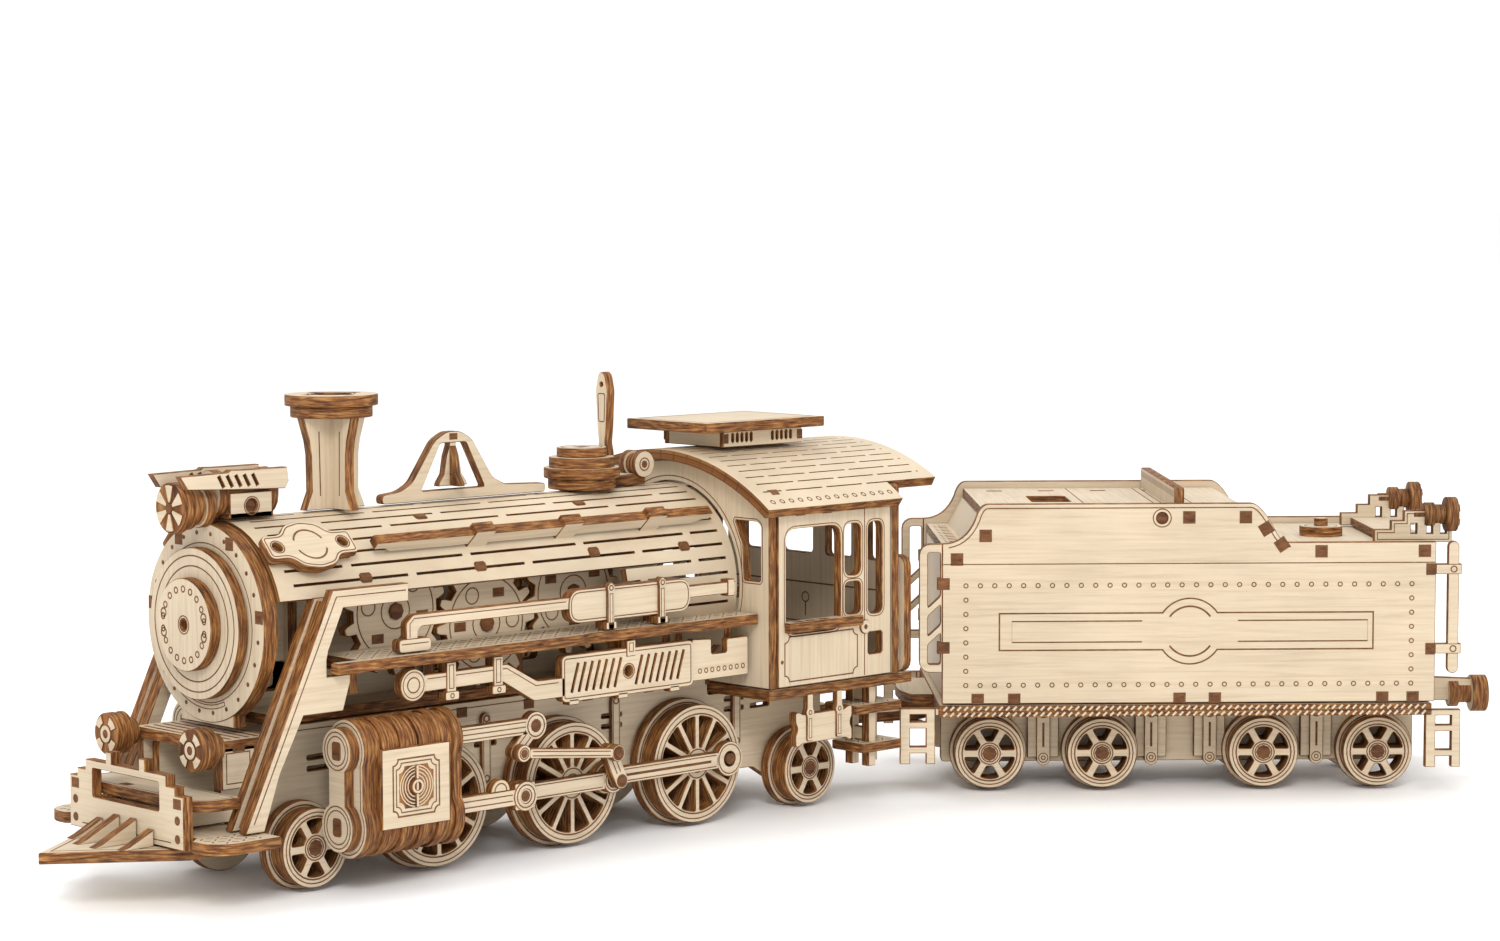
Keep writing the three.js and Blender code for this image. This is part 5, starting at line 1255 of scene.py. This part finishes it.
def curve(p, c, q, steps=8):
    return [tuple(Vector(p) * (1 - t) ** 2 + Vector(c) * 2 * t * (1 - t) + Vector(q) * t * t)
            for t in (k / steps for k in range(1, steps + 1))]


side_top = ([(TENDER_L, LOW), (69.6, LOW)] + curve((69.6, LOW), (67.6, LOW), (66.4, LOW + 2.6))
            + curve((66.4, LOW + 2.6), (63.6, HIGH), (61.6, HIGH)) + [(9.2, HIGH)]
            + curve((9.2, HIGH), (7.4, HIGH), (6.6, HIGH - 3)) + curve((6.6, HIGH - 3), (4.6, LOW),
                                                                       (0, LOW)))
side_loop = [(0, 18.9), (TENDER_L, 18.9)] + side_top
POST_X = 102.3
inset_top = inset(side_loop, 0.85)[3:-1]
MID_X, MID_Z = 49.5, 33.3
for label, s in SIDES:
    wall = Piece(f"tender_wall_{label}", "tender")
    eye = circle(43.8, 56.0, 1.15, 20)
    wall.side(s, side_loop, TENDER_HALF - PLY, PLY, [eye])
    frame_loop, gaps = rail_frame(0, -4.6, 25.2, LOW, 0.35)
    wall.side(s, frame_loop, TENDER_HALF - PLY, PLY, gaps)
    wall.side(s, link((POST_X, 25.6), (POST_X, 50), 1.1), TENDER_HALF - PLY + 0.2, PLY - 0.4)
    for z in (29.5, 45.5):
        wall.side(s, rect(TENDER_L, z - 1, POST_X + 1.6, z + 1), TENDER_HALF - PLY, PLY)
        wall.line("y", circle(POST_X, z, 0.6, 12), s * TENDER_HALF, s, 0.25)
    face = s * TENDER_HALF
    wall.line("y", inset_top, face, s, 0.22, False)
    wall.line("y", circle(43.8, 56.0, 1.8, 24), face, s, 0.22)
    wall.pin("y", circle(43.8, 56.0, 1.1, 12), face - 1.2 * s, face - 0.4 * s, 0)
    wall.line("y", [(0.2, 46.9), (98.5, 46.9)], face, s, 0.2, False)
    for k in range(32):
        x = 4.7 + k * 89.2 / 31
        wall.dot("y", x, 42.6, 0.42, face, s)
        wall.dot("y", x, 22.6, 0.42, face, s)
    for k in range(1, 7):
        for x in (4.7, 93.9):
            wall.dot("y", x, 22.6 + k * 20 / 7, 0.42, face, s)
    swell, ring_r, bar_half = 6.6, 5.0, 3.7
    a = math.asin(bar_half / swell)
    outer = (arc(MID_X, MID_Z, swell, a, math.pi - a, 16) + [(11.4, MID_Z + bar_half),
                                                             (11.4, MID_Z - bar_half)]
             + arc(MID_X, MID_Z, swell, math.pi + a, 2 * math.pi - a, 16)
             + [(86.2, MID_Z - bar_half), (86.2, MID_Z + bar_half)])
    wall.line("y", outer, face, s, 0.3)
    for sign in (-1, 1):
        x0, x1 = MID_X + sign * 9.6, MID_X + sign * 35.6
        wall.line("y", [(x0, MID_Z + 2.1), (x1, MID_Z + 2.1), (x1, MID_Z - 2.1), (x0, MID_Z - 2.1)],
                  face, s, 0.26, False)
    for start in (0.62, 0.62 + math.pi):
        wall.line("y", arc(MID_X, MID_Z, ring_r, start, start + math.pi - 1.24, 16), face, s, 0.36,
                  False)
    for x, z in ((8.6, 52.6), (2.9, 47.9), (49.2, 56.1), (60.5, 56.1), (75.7, 49.2), (96.4, 49.2)):
        wall.plug("y", rect(x - 1.1, z - 1.1, x + 1.1, z + 1.1), face, s)
    for x, z, lean in ((64.6, 53.8, 0.55), (67.8, 50.6, 0.6)):
        c, d = 1.1 * math.cos(lean), 1.1 * math.sin(lean)
        wall.plug("y", [(x - c + d, z - c - d), (x + c + d, z - c + d), (x + c - d, z + c + d),
                        (x - c - d, z + c - d)], face, s)
    for x in (7.1, 14.4, 47.5, 54.6, 88.2, 94.3):
        wall.plug("y", rect(x - 1.1, 19, x + 1.1, 20.8), face, s)
    for x, z in ((0.4, 43.0), (0.4, 30.2), (97.6, 45.5), (97.6, 29.5)):
        lip = -1.4 if x < 1 else -0.9
        wall.prism("y", rect(x + lip, z - 1.2, x + 1.1, z + 1.2), face - 1.6 * s, face + 0.12 * s,
                   (), DARK, BURN)
    wall.build(f"tender_side_{label}")

shell = Piece("tender_decks", "tender")
half = TENDER_HALF - PLY - GAP


def board(points, lo=-half, hi=half, **how):
    shell.prism("y", points, lo, hi, chamfer=CHAMFER, **how)


board([(0.6, 18.9), (2.6, 18.9), (2.6, 49.9), (0.6, 49.6)], ends=EDGE, wall=FACE)
board([(96.1, 18.9), (98.1, 18.9), (98.1, 49.6), (96.1, 49.6)], ends=EDGE, wall=FACE)
shell.prism("z", rect(67, -half, 98.1, half), 47.6, 49.6, [circle(80.6, 0, 2.6, 24)], grain=1)
deck_holes = [rect(13 + 11 * k, y - 0.9, 16 + 11 * k, y + 0.9) for k in range(4) for y in (-19, 19)]
deck_holes += [rounded(20, -7, 28, 7, 0.6, 2)]
shell.prism("z", rect(8.4, -half, 61.8, half), 55.4, 57.4, deck_holes, grain=1)
for x in (30.2, 44.4, 46):
    shell.line("z", [(x, -half + 1), (x, half - 1)], 57.4, 1, 0.22, False)
front_slots = [ribbon([(1.8, -22.4 + 3.2 * k), (4.4, -21.2 + 3.2 * k)], 0.9) for k in range(14)]
shell.prism("z", rect(0.6, -half, 6.4, half), 48.0, 49.9, front_slots, grain=1)
shell.prism("y", [(5.2, 49.9), (7, 49.4), (10.2, 55.4), (8.2, 55.4)], -half, half, ends=EDGE,
            wall=FACE)
shell.prism("y", [(60.8, 55.4), (67, 47.6), (68, 49.6), (61.8, 57.2)], -half, half, ends=EDGE,
            wall=FACE)
shell.prism("x", soften(rect(-half, 56.6, half, 61.8), 0.8, 2), 46.5, 48.5, grain=1)
for k in range(34):
    y = -24 + 1.46 * k
    shell.line("x", [(y, 59.9), (y, 61.1)], 46.5, -1, 0.24, False)
for x in (50.6, 52.2):
    shell.line("z", [(x, -half + 1), (x, half - 1)], 57.4, 1, 0.22, False)
shell.discs("z", 80.6, 0, ((49.4, 51.6, 4.4), (51.5, 53.2, 1.4)))
shell.line("z", circle(80.6, 0, 3.3, 24), 51.6, 1, 0.2)
for s in (-1, 1):
    for x in (62.5, 72, 88):
        shell.plug("z", rect(x + 8, s * 20 - 1.2, x + 10, s * 20 + 1.2), 49.6, 1, 0.02)
for y0 in (-20, 4):
    shell.line("x", notched(y0, 24, y0 + 16, 44, 1.4), 98.1, 1, 0.25)
shell.line("x", [(-24, 46.6), (24, 46.6)], 98.1, 1, 0.2, False)
for k in range(17):
    shell.dot("x", -24 + 3 * k, 21.6, 0.42, 98.1, 1)
shell.build("tender_casing")

lamps = Piece("tender_lamp_stacks", "tender", slot="ply_engraved")
STAND_Y, STACK_Z, BASE_Z = 18.0, 55.6, 50.0
stand = [(88, BASE_Z), (103.7, BASE_Z), (103.7, 54), (99.7, 56.4), (94, 56.4), (94, 54.4),
         (91.4, 54.4), (91.4, 52.6), (88, 52.6)]
lamps.prism("z", rect(90, -STAND_Y + 1, 98, STAND_Y - 1), BASE_Z, BASE_Z + 1.6, grain=1)
for s in (-1, 1):
    lamps.side(s, stand, STAND_Y - 1, PLY, [rect(x, 51.8, x + 1.2, 53.8)
                                            for x in (95.4, 98.6, 101.4)])
    lamps.line("y", inset(stand, 0.6), s * (STAND_Y + 1), s, 0.18)
    y = s * STAND_Y
    lamps.discs("x", y, STACK_Z, ((95.9, 98.2, 1.1), (98.1, 100.2, 2.4), (100.2, 102.4, 2.0),
                                  (102.4, 104.7, 3.5)), ends=EDGE)
    petals(lamps, y, STACK_Z, 104.65, 0.9, 3.1, 6, 0.5)
lamps.build("tender_lamps")

chassis = Piece("tender_frame", "tender")
chassis.prism("z", rect(-0.6, -TENDER_HALF - 0.3, TENDER_L - 0.6, TENDER_HALF + 0.3), 16.2, 18.6)
for s in (-1, 1):
    edge = s * (TENDER_HALF + 0.3)
    for z in (16.8, 18.0):
        for k in range(70):
            x = 0.2 + k * 1.39
            if x < 97:
                chassis.prism("y", ribbon([(x, z - 0.38), (x + 0.75, z + 0.38)], 0.42),
                              edge - 0.2 * s, edge + 0.25 * s, (), FACE, EDGE, 0)
    plate = [(1, 4.4), (98, 4.4), (98, 16.4), (1, 16.4)]
    holes = [circle(x, SMALL["r"], AXLE_BORE, 20) for x in TENDER_AXLES_X]
    holes += [rounded(x, z, x + 5.5, z + 0.9, 0.3, 2) for x in (19.1, 41.6, 75.2)
              for z in (9.2, 11.2)]
    chassis.side(s, soften(plate, 0.8, 2), 8.3, PLY, holes)
    for x in (21.9, 44, 56, 77.9):
        chassis.side(s, link((x, 5.2), (x, 14.8), 1.4), 10, 2.3)
        chassis.side(s, rect(x - 3.2, 5.4, x + 3.2, 16.4), 10, 1.6)
        chassis.line("y", [(x, 7.6), (x, 12.6)], s * 12.3, s, 0.45, False, DARK)
        for z in (5.4, 14.6):
            chassis.line("y", circle(x, z, 0.95, 16), s * 12.3, s, 0.2)
            chassis.dot("y", x, z, 0.4, s * 12.3, s)
    for x, z0, z1 in ((97, 5.6, 17.2), (-8.4, 6.8, 18.0)):
        frame_loop, gaps = ladder(x, z0, z1)
        chassis.side(s, frame_loop, TENDER_HALF - PLY, PLY, gaps)
    chassis.side(s, rect(-1.4, 16.6, -0.6, 18.0), TENDER_HALF - PLY, PLY)
apron = [(x + 1.4, 1.9 * y) for x, y in arc(0, 0, 9, 0.75 * math.pi, 1.25 * math.pi, 16)]
chassis.prism("z", apron + [(-0.6, -12.1), (-0.6, 12.1)], 16.6, 18.6, grain=1)
chassis.prism("z", link((-4, 0), (6, 0), 3), 14.4, 16.4)
chassis.pin("z", circle(-4, 0, 1.1, 16), 11, 16.5)
chassis.prism("z", circle(-4, 0, 2.2, 20), 10, 11.4)
gusset = [(96, 16.6), (98.6, 15.4), (113, 14.8), (113, 19.6), (104, 20), (101, 22.4), (99, 27.6),
          (99, 18.4), (96, 18.4)]
chassis.prism("y", gusset, -1, 1)
chassis.discs("x", 0, 16.5, ((107.4, 109.4, 2.8), (109.4, 112.1, 2.0), (112, 115.3, 3.8)))
chassis.line("x", circle(0, 16.5, 2.6), 115.3, 1, 0.2)
chassis.build("tender_chassis")

for k, x in enumerate(TENDER_AXLES_X, 1):
    wheelset(Piece(f"tender_wheels_{k}", f"tender_axle_{k}"), SMALL,
             x).build(f"tender_wheelset_{k}")

# ---------------------------------------------------------------- stage
floor_mesh = bpy.data.meshes.new("studio_floor")
FLOOR_HALF = 9  # metres: its edge stays beyond the horizon of every view
floor_mesh.from_pydata([(a * FLOOR_HALF, b * FLOOR_HALF, 0) for a, b in rect(-1, -1, 1, 1)], [],
                       [(0, 1, 2, 3)])
studio = bpy.data.objects.new("studio_floor", floor_mesh)
bpy.context.scene.collection.objects.link(studio)
pale = bpy.data.materials.new("pale_floor")
pale.use_nodes = True
pale.node_tree.nodes["Principled BSDF"].inputs["Base Color"].default_value = (0.97, 0.97, 0.97, 1)
pale.node_tree.nodes["Principled BSDF"].inputs["Roughness"].default_value = 0.7
floor_mesh.materials.append(pale)

world = bpy.data.worlds.new("studio")
bpy.context.scene.world = world
world.use_nodes = True
world.node_tree.nodes["Background"].inputs["Color"].default_value = (1, 1, 1, 1)
world.node_tree.nodes["Background"].inputs["Strength"].default_value = 1.03


def area_light(name, at, target, size, watts, color=(1, 1, 1)):
    data = bpy.data.lights.new(name, "AREA")
    data.size, data.energy, data.color = size, watts, color
    lamp_object = bpy.data.objects.new(name, data)
    lamp_object.location = at
    lamp_object.rotation_euler = (Vector(target) - Vector(at)).to_track_quat("-Z", "Y").to_euler()
    bpy.context.scene.collection.objects.link(lamp_object)


area_light("key", (-0.72, -0.72, 0.75), (0, 0, 0.04), 0.35, 7)
area_light("fill", (0.5, -1.0, 0.5), (0.05, 0, 0.04), 0.9, 1.4)
area_light("top", (0.1, 0.3, 1.1), (0, 0, 0.04), 0.6, 3.4)

camera_data = bpy.data.cameras.new("camera")
camera_data.sensor_width, camera_data.lens = 36.0, 85.68
camera = bpy.data.objects.new("camera", camera_data)
bpy.context.scene.collection.objects.link(camera)
camera.location = (-0.476619, -0.481465, 0.1249)
YAW, DOWN, ROLL = math.radians(43.55), math.radians(4.72), math.radians(-0.14)
ahead = Vector((math.sin(YAW) * math.cos(DOWN), math.cos(YAW) * math.cos(DOWN), -math.sin(DOWN)))
camera.rotation_euler = (ahead.to_track_quat("-Z", "Y").to_matrix()
                         @ Matrix.Rotation(ROLL, 3, "Z")).to_euler()
bpy.context.scene.camera = camera
bpy.context.scene.view_settings.view_transform = "Standard"
